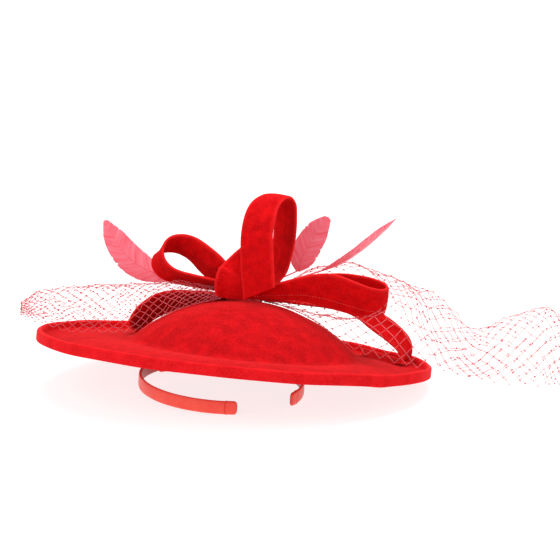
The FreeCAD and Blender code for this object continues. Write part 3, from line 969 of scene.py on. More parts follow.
@dataclass
class Bow:
    """Six ribbon loops sewn to a pad on the crown."""

    hat: HatFrame
    wardrobe: Wardrobe
    trees: Trees

    def upright(self) -> Ribbon:
        """The tall loop: up in front, over, and down behind with a quarter twist."""
        return Ribbon("upright_loop", [
            ((2.9, 37.2, -5.0), (26.2, 49.5, -15.0)),
            ((1.2, 47.0, -5.0), (25.3, 56.0, -15.0)),
            ((-1.2, 59.0, -4.5), (24.0, 64.0, -14.5)),
            ((-2.8, 72.0, -3.5), (22.2, 76.0, -14.0)),
            ((-3.9, 86.0, -2.0), (20.6, 89.0, -13.0)),
            ((-3.0, 100.0, 0.0), (21.3, 101.0, -11.0)),
            ((0.5, 111.0, 5.0), (23.0, 111.0, -6.0)),
            ((8.0, 118.6, 13.0), (27.2, 118.4, 1.0)),
            ((15.5, 120.0, 23.0), (33.0, 119.6, 8.0)),
            ((20.5, 114.0, 34.0), (37.2, 113.5, 14.0)),
            ((22.0, 102.0, 39.0), (38.6, 101.0, 17.0)),
            ((22.3, 88.0, 41.0), (38.9, 86.0, 18.0)),
            ((22.0, 76.0, 39.0), (37.2, 73.0, 18.0)),
            ((21.0, 66.0, 35.0), (34.5, 61.0, 14.0)),
            ((18.0, 57.0, 28.0), (27.5, 51.5, 9.0)),
            ((11.0, 49.0, 18.0), (17.0, 44.5, 5.0))])

    def left(self) -> Ribbon:
        """The open loop to the left, its near edge higher than its far one."""
        return Ribbon("left_loop", [
            ((-5.0, 47.5, 8.0), (-4.0, 42.5, 20.0)),
            ((-18.0, 51.0, 4.0), (-17.0, 43.5, 27.0)),
            ((-33.0, 53.0, 4.0), (-33.0, 44.3, 29.0)),
            ((-44.5, 54.8, 5.0), (-48.5, 45.8, 30.0)),
            ((-54.0, 58.0, 6.0), (-62.0, 49.2, 31.0)),
            ((-60.0, 64.0, 8.0), (-68.8, 56.5, 33.0)),
            ((-61.5, 72.5, 10.0), (-67.8, 64.8, 35.0)),
            ((-57.5, 79.5, 12.0), (-59.5, 68.3, 37.0)),
            ((-49.0, 82.7, 13.0), (-50.0, 68.0, 38.0)),
            ((-39.0, 81.5, 12.0), (-41.0, 63.5, 36.0)),
            ((-28.0, 76.0, 10.0), (-32.0, 55.5, 33.0)),
            ((-16.0, 67.5, 8.0), (-23.0, 49.0, 27.0)),
            ((-5.0, 57.0, 8.0), (-11.0, 45.0, 21.0))])

    def right(self) -> Ribbon:
        """The broad loop to the right, standing on its edge."""
        return Ribbon("right_loop", [
            ((8.0, 43.5, 6.0), (7.0, 38.0, 4.0)),
            ((22.0, 50.0, -3.0), (20.0, 39.5, 0.0)),
            ((38.0, 56.6, -10.0), (36.0, 40.8, -1.0)),
            ((53.0, 61.7, -14.0), (50.0, 40.5, -4.0)),
            ((66.0, 64.0, -17.0), (65.0, 38.0, -6.0)),
            ((77.0, 62.5, -18.0), (79.0, 35.5, -7.0)),
            ((88.0, 59.3, -18.0), (90.0, 33.6, -7.0)),
            ((99.0, 56.6, -16.0), (101.0, 32.6, -5.0)),
            ((108.5, 55.8, -10.0), (109.0, 34.5, 1.0)),
            ((112.8, 57.8, -2.0), (112.5, 38.0, 9.0)),
            ((110.5, 61.2, 6.0), (110.5, 41.0, 16.0)),
            ((101.0, 64.2, 10.0), (101.0, 42.5, 20.0)),
            ((88.0, 65.6, 11.0), (88.0, 43.0, 21.0)),
            ((72.0, 65.2, 12.0), (72.0, 43.0, 20.0)),
            ((52.0, 60.5, 12.0), (52.0, 42.0, 18.0)),
            ((33.0, 53.0, 12.0), (32.0, 40.5, 16.0)),
            ((14.0, 46.0, 12.0), (13.0, 39.5, 13.0))], hem=0.26)

    def lower_left(self) -> Ribbon:
        """The loop that curls down behind the crown's left flank."""
        return Ribbon("lower_left_loop", [
            ((-6.0, 40.5, 12.0), (-2.0, 38.2, 28.0)),
            ((-22.0, 41.3, 14.0), (-14.0, 34.5, 36.0)),
            ((-38.0, 41.0, 17.0), (-27.0, 29.5, 41.0)),
            ((-52.0, 39.8, 19.0), (-40.0, 26.5, 43.0)),
            ((-63.0, 36.5, 21.0), (-51.0, 23.5, 45.0)),
            ((-72.0, 30.5, 23.0), (-60.0, 19.0, 47.0)),
            ((-79.0, 23.0, 25.0), (-67.5, 13.5, 49.0)),
            ((-83.0, 14.5, 27.0), (-73.0, 9.0, 52.0)),
            ((-82.5, 8.0, 29.0), (-73.5, 6.9, 54.0)),
            ((-77.0, 4.8, 31.0), (-69.0, 6.8, 57.0))])

    def lower_right(self) -> Ribbon:
        """The loop that runs out under the right one and curls back along the brim."""
        return Ribbon("lower_right_loop", [
            ((12.0, 39.0, 12.0), (14.0, 41.0, 26.0)),
            ((32.0, 38.5, 16.0), (38.0, 43.5, 36.0)),
            ((55.0, 38.0, 20.0), (66.0, 44.0, 42.0)),
            ((76.0, 36.8, 22.0), (90.0, 43.0, 46.0)),
            ((90.5, 32.8, 24.0), (108.0, 38.0, 48.0)),
            ((100.0, 26.5, 26.0), (120.5, 31.8, 49.0)),
            ((109.5, 20.5, 28.0), (129.5, 25.3, 50.0)),
            ((118.3, 15.0, 29.0), (135.3, 18.3, 51.0)),
            ((125.5, 9.6, 30.0), (137.0, 11.5, 52.0)),
            ((129.0, 4.2, 31.0), (136.0, 6.0, 53.0)),
            ((127.0, 0.9, 32.0), (132.0, 3.6, 54.0)),
            ((120.0, 0.5, 34.0), (124.0, 4.6, 56.0)),
            ((110.0, 2.2, 36.0), (112.0, 6.8, 58.0)),
            ((100.0, 4.6, 38.0), (99.0, 9.2, 60.0))])

    def knot(self) -> Ribbon:
        """The short piece crossed over in front of the others and folded back at its top."""
        return Ribbon("knot_loop", [
            ((-18.0, 38.0, 2.0), (7.0, 37.6, 1.0)),
            ((-20.0, 44.5, 0.0), (6.0, 41.0, -1.0)),
            ((-20.0, 52.0, -1.5), (4.0, 46.0, -2.5)),
            ((-18.0, 60.2, 0.0), (3.0, 50.5, -2.0)),
            ((-16.2, 62.6, 3.5), (3.0, 53.0, 1.0)),
            ((-11.5, 68.5, 6.0), (6.0, 58.0, 3.0)),
            ((-3.0, 77.5, 8.0), (12.0, 63.0, 5.0)),
            ((5.0, 82.0, 10.0), (17.0, 66.0, 7.0))])

    def loop(self, ribbon: Ribbon) -> None:
        """Builds one loop and sews its hem."""
        rings = ribbon.rings(self.hat)
        # the ribbon's edges get a painted highlight
        piece = skin(ribbon.name, rings, painted_light_marks=ribbon.painted_light_marks())
        finish_piece(piece, Body.HAT, Slot.RIBBON, self.wardrobe.ribbon_velvet, ribbon.name)
        widths = [(self.hat.seat(a) - self.hat.seat(b)).length for a, b in ribbon.pairs]
        length = ribbon.length(self.hat)
        if ribbon.hem:
            line = ribbon.hem_line(rings)
            hem = mesh_object(ribbon.name + "_hem_stitches", line, [],
                              [(i, i + 1) for i in range(len(line) - 1)])
            grow(hem, self.trees.stitches, {"Pitch": 2.4 * MM, "Stitch Length": 1.7 * MM,
                                            "Thread Thickness": 0.45 * MM, "Material": self.wardrobe.stitch})
            finish_piece(hem, Body.HAT, Slot.THREAD, self.wardrobe.stitch)

    def pad_and_middle(self) -> None:
        """The felt pad and the wrapped middle, both mostly hidden under the loops."""
        pad = [(0.0, 38.2), (9.0, 38.2), (12.8, 37.6), (14.0, 36.6), (13.6, 33.0), (12.0, 32.6),
               (0.0, 34.0)]
        centre_x, centre_y = 4.0, 14.0

        def on_crown(radius: float, height: float, angle: float) -> Vector:
            """A point of the pad, dipping with the crown under it."""
            x, y = centre_x + radius * math.cos(angle), centre_y + radius * math.sin(angle)
            return self.hat.at(x, y, height - 0.06 * (y - centre_y))

        piece = lathe("bow_base_pad", pad, 40, on_crown)
        finish_piece(piece, Body.HAT, Slot.FELT, self.wardrobe.felt, "bow_base_pad")
        rings = []
        for i in range(15):
            share = i / 14
            bulge = 5.2 + 0.5 * math.sin(share * math.pi * 5) - 1.6 * abs(share - 0.5) ** 2 * 4
            rings.append([self.hat.at(centre_x + bulge * math.cos(a), centre_y + bulge * 0.9 * math.sin(a),
                                      38.6 + 11.4 * share) for a in round_angles(24)])
        middle = skin("bow_centre_wrap", rings)
        finish_piece(middle, Body.HAT, Slot.RIBBON, self.wardrobe.ribbon_velvet, "bow_centre_wrap")

    def build(self) -> None:
        """Builds every loop, the pad and the middle."""
        for ribbon in (self.upright(), self.left(), self.right(), self.lower_left(), self.lower_right(),
                       self.knot()):
            self.loop(ribbon)
        self.pad_and_middle()


# ---- feathers ------------------------------------------------------------------------------------

@dataclass
class Feather:
    """One feather: its rachis, the half widths of its vane, how it turns, and its bare quill."""

    name: str
    rachis: list[Point]
    upper: list[float]
    lower: list[float]
    turn_deg: list[float]
    root: Point


@dataclass
class Feathers:
    """Three dyed feathers behind the bow."""

    hat: HatFrame
    wardrobe: Wardrobe
    trees: Trees
    thick: float = 0.35

    def designs(self) -> list[Feather]:
        """The three feathers."""
        root = (4.0, 46.0, 30.5)
        return [
            Feather("feather_left",
                    [(-52.0, 49.0, 38.0), (-64.0, 51.0, 39.0), (-76.0, 54.5, 40.0), (-87.0, 60.5, 41.0),
                     (-96.5, 69.5, 42.0), (-104.0, 79.5, 42.0), (-109.5, 88.5, 41.0)],
                    [1.5, 5.5, 9.5, 11.5, 11.0, 8.5, 2.2], [2.0, 6.0, 9.5, 10.5, 10.0, 7.5, 1.6],
                    [10.0, 8.0, 5.0, 0.0, -5.0, -8.0, -10.0], root),
            Feather("feather_middle",
                    [(43.0, 64.0, 38.0), (45.0, 72.0, 39.0), (48.0, 81.0, 40.0), (52.5, 90.5, 41.0),
                     (57.5, 99.5, 41.0), (63.0, 107.5, 40.0)],
                    [1.5, 7.5, 10.5, 10.5, 8.8, 3.0], [1.5, 8.0, 10.5, 10.5, 9.0, 3.4],
                    [0.0, 0.0, 4.0, 6.0, 8.0, 10.0], root),
            Feather("feather_right",
                    [(62.0, 66.0, 42.0), (74.0, 73.0, 44.0), (86.0, 82.0, 45.0), (97.0, 92.5, 46.0),
                     (106.0, 102.0, 46.0), (115.0, 111.5, 45.0)],
                    [1.0, 6.0, 9.0, 9.5, 6.5, 0.6], [1.0, 5.0, 8.0, 8.5, 6.0, 0.6],
                    [62.0, 66.0, 70.0, 70.0, 66.0, 60.0], root)]

    def frames(self, design: Feather, steps: int) -> list[tuple[Vector, Vector, Vector, float, float]]:
        """The places along a rachis, each with its across, its face and its two half widths."""
        path = smooth_path([self.hat.seat(p) for p in design.rachis], steps)
        widths = smooth_path([Vector(w) for w in zip(design.upper, design.lower, design.turn_deg)], steps)
        towards = self.hat.seat((0.0, 0.0, -100.0)) - self.hat.seat((0.0, 0.0, 0.0))
        towards.normalize()
        frames = []
        for i, place in enumerate(path):
            ahead = heading(path, i)
            across = ahead.cross(towards).normalized()
            across.rotate(Matrix.Rotation(math.radians(widths[i].z), 3, ahead))
            frames.append((place, across, ahead.cross(across).normalized(), widths[i].x, widths[i].y))
        return frames

    def vane(self, design: Feather) -> bpy.types.Object:
        """The vane: a thin closed sheet that dips at the rachis, with a few splits along its edges."""
        frames = self.frames(design, 16)
        across_steps = 10
        shuffle = random.Random(len(design.name) * 7 + len(design.rachis))
        splits = [1.0 - (0.16 * shuffle.random() if shuffle.random() < 0.12 else 0.03 * shuffle.random())
                  for _ in range(2 * len(frames))]
        rings = []
        for i, (place, across, face, upper, lower) in enumerate(frames):
            ahead = across.cross(face)
            row = []
            for j in range(-across_steps, across_steps + 1):
                share = j / across_steps
                reach = upper if share > 0 else lower
                split = splits[2 * i + (share > 0)]
                edge = 1.0 - (1.0 - split) * abs(share) ** 4
                sweep = 0.35 * abs(share) * reach
                dip = 0.14 * reach * share * share
                curl = 0.25 * noise.noise(place / MM / 9.0 + Vector((share, 0, 0))) * abs(share)
                row.append(place + across * (share * reach * edge * MM) - ahead * (sweep * MM)
                           + face * ((dip + curl) * MM))
            half = [self.thick / 2 * (1.0 - 0.7 * abs(j) / across_steps)
                    for j in range(-across_steps, across_steps + 1)]
            upper_row = [p + face * (h * MM) for p, h in zip(row, half)]
            lower_row = [p - face * (h * MM) for p, h in zip(row, half)]
            rings.append(upper_row + lower_row[::-1])
        piece = skin(design.name + "_vane", rings)
        self.lay_barbs(piece, frames)
        return finish_piece(piece, Body.HAT, Slot.VANE, self.wardrobe.plume, design.name + "_vane")

    def lay_barbs(self, piece: bpy.types.Object,
                  frames: list[tuple[Vector, Vector, Vector, float, float]]) -> None:
        """Gives the vane a UV map whose U runs along the rachis and falls back along each barb."""
        layer = piece.data.uv_layers.new(name="barbs")
        place_uv = []
        along = 0.0
        starts = [0.0]
        for a, b in zip(frames, frames[1:]):
            along += (b[0] - a[0]).length
            starts.append(along)
        for vert in piece.data.vertices:
            nearest = min(range(len(frames)), key=lambda i: (frames[i][0] - vert.co).length_squared)
            offset = vert.co - frames[nearest][0]
            across = offset.dot(frames[nearest][1])
            ahead = offset.dot(frames[nearest][1].cross(frames[nearest][2]))
            place_uv.append((starts[nearest] + ahead - 0.9 * abs(across), across))
        for loop in piece.data.loops:
            layer.data[loop.index].uv = place_uv[loop.vertex_index]

    def quill(self, design: Feather) -> bpy.types.Object:
        """The bare quill from the binding, carried on up the vane as its rachis."""
        foot = [self.hat.seat(design.root), self.hat.seat(design.rachis[0])]
        bend = (foot[0] + foot[1]) / 2 - self.hat.up * (1.5 * MM)
        path = smooth_path([foot[0], bend] + [f[0] for f in self.frames(design, 4)][:-3], 3)
        rings = []
        for i, place in enumerate(path):
            ahead = heading(path, i)
            one = ahead.cross(self.hat.back).normalized()
            two = ahead.cross(one)
            radius = (0.2 + 0.42 * max(0.0, 1.0 - 1.4 * i / len(path))) * MM
            rings.append([place + one * (radius * math.cos(a)) + two * (radius * math.sin(a))
                          for a in round_angles(8)])
        piece = skin(design.name + "_quill", rings)
        return finish_piece(piece, Body.HAT, Slot.QUILL, self.wardrobe.quill, design.name + "_quill")

    def down(self, design: Feather) -> bpy.types.Object:
        """Loose barbs at the foot and round the edge of the vane."""
        shuffle = random.Random(len(design.rachis) * 31 + len(design.name))
        frames = self.frames(design, 8)
        verts, edges = [], []
        for place, across, face, upper, lower in frames[:-2]:
            ahead = across.cross(face)
            for side, reach in ((1.0, upper), (-1.0, lower)):
                start = max(0.3, 0.86 - 0.5 * shuffle.random())
                for step in range(4):
                    share = start + (1.06 - start + 0.05 * shuffle.random()) * step / 3
                    wander = 0.4 * shuffle.random()
                    verts.append(place + across * (side * reach * share * MM)
                                 - ahead * ((0.35 * share * reach + wander) * MM)
                                 + face * ((0.14 * reach * share * share + 0.25
                                            + 0.2 * shuffle.random()) * MM))
                    if step:
                        edges.append((len(verts) - 2, len(verts) - 1))
        piece = mesh_object(design.name + "_barbs", verts, [], edges)
        grow(piece, self.trees.threads, {"Thread Radius": 0.11 * MM, "Sides": 3,
                                         "Material": self.wardrobe.plume})
        layer = piece.data.uv_layers.new(name="barbs")
        for loop in piece.data.loops:
            spot = piece.data.vertices[loop.vertex_index].co
            layer.data[loop.index].uv = (spot.x, spot.z)
        return finish_piece(piece, Body.HAT, Slot.VANE, self.wardrobe.plume)

    def binding(self) -> bpy.types.Object:
        """Thread wound round the three quills."""
        rings = []
        for i in range(37):
            share = i / 36
            radius = 4.0 + 0.22 * math.cos(share * math.pi * 24) - 0.9 * (2 * share - 1) ** 6
            rings.append([self.hat.at(4.0 + radius * math.cos(a), 30.3 - 6.0 * share,
                                      43.2 + radius * math.sin(a)) for a in round_angles(24)])
        piece = skin("quill_binding", rings)
        return finish_piece(piece, Body.HAT, Slot.THREAD, self.wardrobe.thread, "quill_binding")

    def build(self) -> None:
        """Builds the feathers and their binding."""
        for design in self.designs():
            self.vane(design)
            self.quill(design)
            self.down(design)
        self.binding()


# ---- veil ----------------------------------------------------------------------------------------

@dataclass
class Wing:
    """One wing of the veil: a sheet led through rows of points, each row across the net."""

    name: str
    rows: list[list[Point]]
    cell: float = 7.4
    thread_radius: float = 0.285   # drawn coarse: real net thread is about 0.15 mm
    crumple: float = 2.2
    gather: float = 1.3            # above 1, the crossings lie closer together near the bow


@dataclass
class Veil:
    """Net with a knot at every crossing, gathered at the bow and let out each side."""

    hat: HatFrame
    wardrobe: Wardrobe
    trees: Trees
    knot_radius: float = 0.62
    steps: int = 12                # samples between two rows or two points of a row
    crown_clear: float = 1.3       # threads off the crown's velvet, more than a knot's radius
    table_clear: float = 0.6       # threads off the table
    thread_share: float = 0.31     # assumed share of the net's size that is thread

    def wings(self) -> list[Wing]:
        """The two wings, folded over along their tops."""
        return [
            Wing("veil_right", [
                [(20, 36, 14), (20, 37, 18), (20, 38, 22), (20, 38, 27), (20, 38, 32)],
                [(52, 22, -2), (50, 33, 2), (52, 36, 12), (54, 62, 44), (56, 68, 52)],
                [(88, 8, -16), (86, 30, -12), (90, 34, 8), (92, 68, 46), (94, 72, 58)],
                [(122, 1, -30), (120, 32, -26), (124, 58, 16), (126, 62, 50), (128, 40, 62)],
                [(150, -1, -42), (150, 30, -38), (152, 55, 14), (154, 34, 44), (156, 6, 52)],
                [(178, -5, -46), (178, 14, -44), (180, 33, 6), (182, 16, 34), (184, -4, 40)],
                [(206, -7, -48), (208, 22, -46), (208, 44, 0), (210, 24, 26), (210, -5, 30)],
                [(234, -5, -48), (236, 30, -46), (236, 56, -6), (238, 32, 18), (238, -4, 22)],
                [(254, -3, -46), (256, 18, -44), (257, 40, -10), (257, 20, 8), (256, -2, 12)]]),
            Wing("veil_left", [
                [(-8, 40, 2), (-8, 43, 6), (-8, 45, 14), (-8, 43, 22), (-8, 41, 28)],
                [(-38, 26, -4), (-37, 38, -2), (-38, 47, 16), (-39, 44, 36), (-40, 38, 44)],
                [(-66, 9, -12), (-66, 30, -8), (-68, 44, 18), (-70, 36, 48), (-72, 16, 60)],
                [(-96, 2, -18), (-96, 22, -14), (-98, 40, 16), (-100, 28, 46), (-102, 10, 58)],
                [(-126, 1, -20), (-126, 18, -16), (-128, 36, 12), (-130, 24, 36), (-132, 8, 46)],
                [(-152, 6, -14), (-152, 16, -12), (-154, 28, 8), (-156, 20, 26), (-156, 9, 32)],
                [(-166, 10, -4), (-166, 15, -2), (-167, 19, 4), (-167, 15, 12), (-167, 11, 16)]],
                cell=4.4, thread_radius=0.22)]

    def surface(self, wing: Wing, steps: int) -> list[list[Vector]]:
        """The wing as a grid: smooth along its rows, then from row to row."""
        across = [smooth_path([self.hat.seat(p) for p in row], steps) for row in wing.rows]
        columns = [smooth_path([row[j] for row in across], steps) for j in range(len(across[0]))]
        return [[column[i] for column in columns] for i in range(len(columns[0]))]

    def girths_and_length(self, grid: list[list[Vector]]) -> tuple[list[float], float]:
        """The wing's size across at each row, and its length along the middle, in metres."""
        middle = len(grid[0]) // 2
        girths = [sum((b - a).length for a, b in zip(row, row[1:])) for row in grid]
        return girths, sum((b[middle] - a[middle]).length for a, b in zip(grid, grid[1:]))

    def net_points(self, wing: Wing) -> tuple[list[Vector], list[tuple[int, int]]]:
        """The crossings and threads of the net."""
        grid = self.surface(wing, self.steps)
        rows, columns = len(grid), len(grid[0])
        girths, length = self.girths_and_length(grid)
        girths = [girth / MM for girth in girths]
        length /= MM
        width = sum(girths) / len(girths)
        along = max(4, round(length / (wing.cell * 0.72)))
        cells = max(3, round(width / (wing.cell * 1.42)))
        verts, edges, index = [], [], {}
        shuffle = random.Random(17 + len(wing.name))
        for i in range(along + 1):
            at = (i / along) ** wing.gather * (rows - 1)
            low = min(int(at), rows - 2)
            loose = min(1.0, girths[low] / width)
            for j in range(cells + 1):
                share = (j + (0.5 if i % 2 else 0.0)) / (cells + 0.5)
                over = share * (columns - 1)
                side = min(int(over), columns - 2)
                a = grid[low][side].lerp(grid[low][side + 1], over - side)
                b = grid[low + 1][side].lerp(grid[low + 1][side + 1], over - side)
                spot = a.lerp(b, at - low)
                shake = Vector([shuffle.uniform(-1, 1) for _ in range(3)]) * 0.8
                fold = noise.noise_vector(spot / MM / 16.0) * wing.crumple
                index[(i, j)] = len(verts)
                verts.append(spot + (shake + fold) * loose * MM)
        for (i, j), number in index.items():
            for other in ((i + 1, j), (i + 1, j + (1 if i % 2 else -1))):
                if other in index:
                    edges.append((number, index[other]))
        return verts, edges

    def wing(self, wing: Wing) -> None:
        verts, edges = self.net_points(wing)
        floor = self.table_clear * MM
        for number, vert in enumerate(verts):
            verts[number] = self.clear_of_crown(vert)
            verts[number].z = max(verts[number].z, floor)
        net = mesh_object(wing.name, verts, [], edges)
        knots = mesh_object(wing.name + "_knots", verts, [])
        grow(net, self.trees.threads, {"Thread Radius": wing.thread_radius * MM, "Sides": 4,
                                       "Material": self.wardrobe.net})
        grow(knots, self.trees.knots, {"Knot Radius": self.knot_radius * MM, "Unevenness": 0.3, "Seed": 5,
                                       "Material": self.wardrobe.knot})
        finish_piece(net, Body.HAT, Slot.NET, self.wardrobe.net, wing.name)
        finish_piece(knots, Body.HAT, Slot.NET, self.wardrobe.knot)
        girths, length = self.girths_and_length(self.surface(wing, self.steps))

    def clear_of_crown(self, spot: Vector) -> Vector:
        """The spot, or the nearest place on the crown's velvet when it lies inside the crown."""
        centre = self.hat.at(Crown.shift, 0.0, Crown.height - Crown.sphere)
        reach = (Crown.sphere + self.crown_clear) * MM
        away = spot - centre
        if away.length >= reach or (spot - self.hat.origin).dot(self.hat.up) < 0.0:
            return spot
        return centre + away.normalized() * reach

    def build(self) -> None:
        """Builds both wings."""
        for wing in self.wings():
            self.wing(wing)


# ---- headband ------------------------------------------------------------------------------------

@dataclass
class Headband:
    """The satin-covered band, its folded ends, and the patch and keepers that it swings in."""

    hat: HatFrame
    wardrobe: Wardrobe
    trees: Trees
    pivot: Vector
    hinge: Vector
    reach: Vector
    arcs: tuple[tuple[float, float], ...] = ((62.0, 50.0), (63.0, 51.0), (65.5, 54.0))
    width: float = 10.5
    thick: float = 2.5
    tip: float = 8.0
    keeper_gap: float = 12.0
    keeper_radius: float = 6.6
    keeper_width: float = 6.0
    saucer_depth: float = 3.4

    @classmethod
    def from_frame(cls, frame: dict, hat: HatFrame, wardrobe: Wardrobe, trees: Trees) -> "Headband":
        """Reads the hinge from the frame's one joint and the arms' direction from the head_seat mount."""
        joint = frame["joints"][0]
        seat = next(m for m in frame["record"]["mounts"] if m["name"] == "head_seat")
        return cls(hat, wardrobe, trees, Vector(joint["pos_m"]), Vector(joint["axis"]).normalized(),
                   Vector(seat["axis"]).normalized())

    def half_path(self, side: float) -> list[tuple[Vector, Vector, Vector, float]]:
        """Half of the hoop from its middle: each place, direction, inward normal and run so far."""
        x, y, heading, run = 0.0, 0.0, 0.0, 0.0
        places = []
        for radius, turn in self.arcs:
            steps = round(turn / 2)
            for _ in range(steps):
                places.append((x, y, heading, run))
                step = math.radians(turn / steps)
                chord = 2 * radius * math.sin(step / 2)
                x += chord * math.cos(heading + step / 2)
                y += chord * math.sin(heading + step / 2)
                heading += step
                run += radius * step
        places.append((x, y, heading, run))
        out = []
        for x, y, heading, run in places:
            spot = self.pivot + (self.hinge * (side * x) + self.reach * y) * MM
            ahead = self.hinge * (side * math.cos(heading)) + self.reach * math.sin(heading)
            inward = self.hinge * (-side * math.sin(heading)) + self.reach * math.cos(heading)
            out.append((spot, ahead, inward, run))
        return out

    def band_section(self, width: float, thick: float) -> list[tuple[float, float]]:
        """The band's section: slightly domed faces and round edges, as across and through."""
        half_w, half_t = width / 2, thick / 2
        points = []
        for i in range(28):
            angle = 2 * math.pi * i / 28
            c, s = math.cos(angle), math.sin(angle)
            points.append((half_w * math.copysign(abs(c) ** 0.45, c),
                           half_t * math.copysign(abs(s) ** 0.75, s)))
        return points

    def ring(self, spot: Vector, inward: Vector, width: float, thick: float) -> Ring:
        """One section of the band placed on its path."""
        across = self.hinge.cross(self.reach).normalized()
        return [spot + across * (a * MM) + inward * (b * MM) for a, b in self.band_section(width, thick)]

    def shaded_inner_face(self) -> list[float]:
        """Which points of the band's section are on the face towards the head, which is painted darker as
        shade.
        """
        return [1.0 if b > 0.3 else 0.0 for _, b in self.band_section(self.width, self.thick)]

    def cover(self) -> bpy.types.Object:
        """The satin tube over the plastic core."""
        total = self.half_path(1.0)[-1][3]
        keep = total - self.tip + 0.6
        left = [p for p in self.half_path(-1.0) if p[3] < keep]
        right = [p for p in self.half_path(1.0) if p[3] < keep]
        rings = []
        for spot, _, inward, _ in left[::-1] + right[1:]:
            soft = 1.0 + 0.02 * noise.noise(spot / MM / 14.0)
            rings.append(self.ring(spot, inward, self.width * soft, self.thick * (2.0 - soft)))
        # the face towards the head gets painted shade
        piece = skin("headband_cover", rings, painted_light_marks=self.shaded_inner_face())
        return finish_piece(piece, Body.HEADBAND, Slot.SATIN, self.wardrobe.satin, "headband_cover")

    def folded_end(self, name: str, side: float) -> bpy.types.Object:
        """A band end: satin folded over it, fuller at the fold's edge and rounded at the end."""
        path = self.half_path(side)
        total = path[-1][3]
        spots = [p for p in path if p[3] >= total - self.tip - 2.2]
        line = smooth_path([p[0] for p in spots], 6)
        inwards = smooth_path([p[2] for p in spots], 6)
        rings = []
        for i, spot in enumerate(line):
            left = (1.0 - i / (len(line) - 1)) * self.tip
            start = self.tip - left
            fold = 0.5 * math.exp(-(start / 1.1) ** 2)
            close = math.sqrt(max(0.0, 1.0 - max(0.0, 1.0 - left / 3.0) ** 2.6))
            rings.append(self.ring(spot, inwards[i].normalized(),
                                   (self.width + 0.25 + fold) * (0.35 + 0.65 * close),
                                   (self.thick + 0.3 + fold) * (0.25 + 0.75 * close)))
        # the face towards the head gets painted shade
        piece = skin(name, rings, painted_light_marks=self.shaded_inner_face())
        return finish_piece(piece, Body.HEADBAND, Slot.SATIN, self.wardrobe.satin, name)

    def patch_frame(self) -> tuple[Vector, Vector, Vector, Vector]:
        """Middle of the patch's upper face, its long way, its short way and the way down."""
        down = -self.hat.up
        rise = (self.pivot - self.hat.at(0, 0, -self.saucer_depth)).dot(self.hat.up)
        middle = self.pivot - self.hat.up * rise
        along = (self.hinge - down * self.hinge.dot(down)).normalized()
        return middle, along, down.cross(along).normalized(), down

    def patch(self) -> bpy.types.Object:
        """The felt patch under the saucer, with rounded corners and edges."""
        middle, along, aside, down = self.patch_frame()
        half_l, half_w, corner = 31.0, 13.0, 4.0
        outline = []
        for cx, cy, start in ((1, 1, 0), (-1, 1, 90), (-1, -1, 180), (1, -1, 270)):
            for i in range(7):
                angle = math.radians(start + 15 * i)
                outline.append((cx * (half_l - corner) + corner * math.cos(angle),
                                cy * (half_w - corner) + corner * math.sin(angle)))
        rings = []
        for depth, inset in ((0.05, 0.0), (1.2, 0.0), (1.75, 0.25), (2.0, 0.9)):
            ring = []
            for x, y in outline:
                shrink = 1.0 - inset / 20.0
                ring.append(middle + (along * x * shrink + aside * y * shrink + down * depth) * MM)
            rings.append(ring)
        piece = skin("headband_anchor_patch", rings)
        return finish_piece(piece, Body.HAT, Slot.FELT, self.wardrobe.felt, "headband_anchor_patch")

    def stitching(self) -> bpy.types.Object:
        """The row of stitches round the patch."""
        middle, along, aside, down = self.patch_frame()
        corners = [(-28.0, -10.2), (28.0, -10.2), (28.0, 10.2), (-28.0, 10.2)]
        verts = [middle + (along * x + aside * y + down * 2.05) * MM for x, y in corners]
        piece = mesh_object("anchor_stitches", verts, [], [(0, 1), (1, 2), (2, 3), (3, 0)])
        grow(piece, self.trees.stitches, {"Pitch": 4.2 * MM, "Stitch Length": 3.0 * MM,
                                          "Thread Thickness": 0.7 * MM, "Material": self.wardrobe.thread})
        return finish_piece(piece, Body.HAT, Slot.THREAD, self.wardrobe.thread, "anchor_stitches")

    def keeper(self, name: str, side: float) -> bpy.types.Object:
        """A satin loop that the band lies in, its two ends sewn up to the patch."""
        middle = self.patch_frame()[0]
        centre = self.pivot + self.hinge * (side * self.keeper_gap * MM)
        up = (self.hat.up - self.hinge * self.hat.up.dot(self.hinge)).normalized()
        out = up.cross(self.hinge).normalized()
        drop = ((middle - self.hat.up * 1.9 * MM) - centre).dot(self.hat.up) / self.hat.up.dot(up)
        radius = (self.keeper_radius + 0.35) * MM
        path = []
        for i in range(33):
            turn = math.radians(118 + 304 * i / 32)
            path.append(centre + out * (radius * math.cos(turn)) + up * (radius * math.sin(turn)))
        lead = centre + up * drop
        path = [lead - out * (3.4 * MM)] + path + [lead + out * (3.4 * MM)]
        line = smooth_path(path, 2)
        rings = []
        for i, spot in enumerate(line):
            ahead = heading(line, i)
            face = self.hinge.cross(ahead).normalized()
            section = strip_section(self.keeper_width, 0.7, 0.0, 6)
            rings.append([spot + self.hinge * (a * MM) + face * (b * MM) for a, b in section])
        piece = skin(name, rings)
        return finish_piece(piece, Body.HAT, Slot.SATIN, self.wardrobe.satin, name)

    def build(self) -> None:
        """Builds the band and everything that holds it."""
        self.cover()
        self.folded_end("headband_tip_right", 1.0)
        self.folded_end("headband_tip_left", -1.0)
        self.patch()
        self.stitching()
        self.keeper("keeper_loop_left", -1.0)
        self.keeper("keeper_loop_right", 1.0)


# ---- what stays from the CAD model ---------------------------------------------------------------

def dress_inner_pieces(frame: dict, wardrobe: Wardrobe) -> None:
    """Gives the hidden CAD pieces, whose shapes are right, their finishes.

    Args:
        frame: the loaded frame.
        wardrobe: the finishes.
    """
    finishes = {"brim_base": wardrobe.buckram, "crown_shell": wardrobe.buckram, "brim_wire": wardrobe.wire,
                "headband_core": wardrobe.plastic}
    for name, material in finishes.items():
        slots = frame["nodes"][name].data.materials
        slots.clear()
        slots.append(material)
        LOG.info("%s keeps its CAD shape", name)


# ---- studio --------------------------------------------------------------------------------------

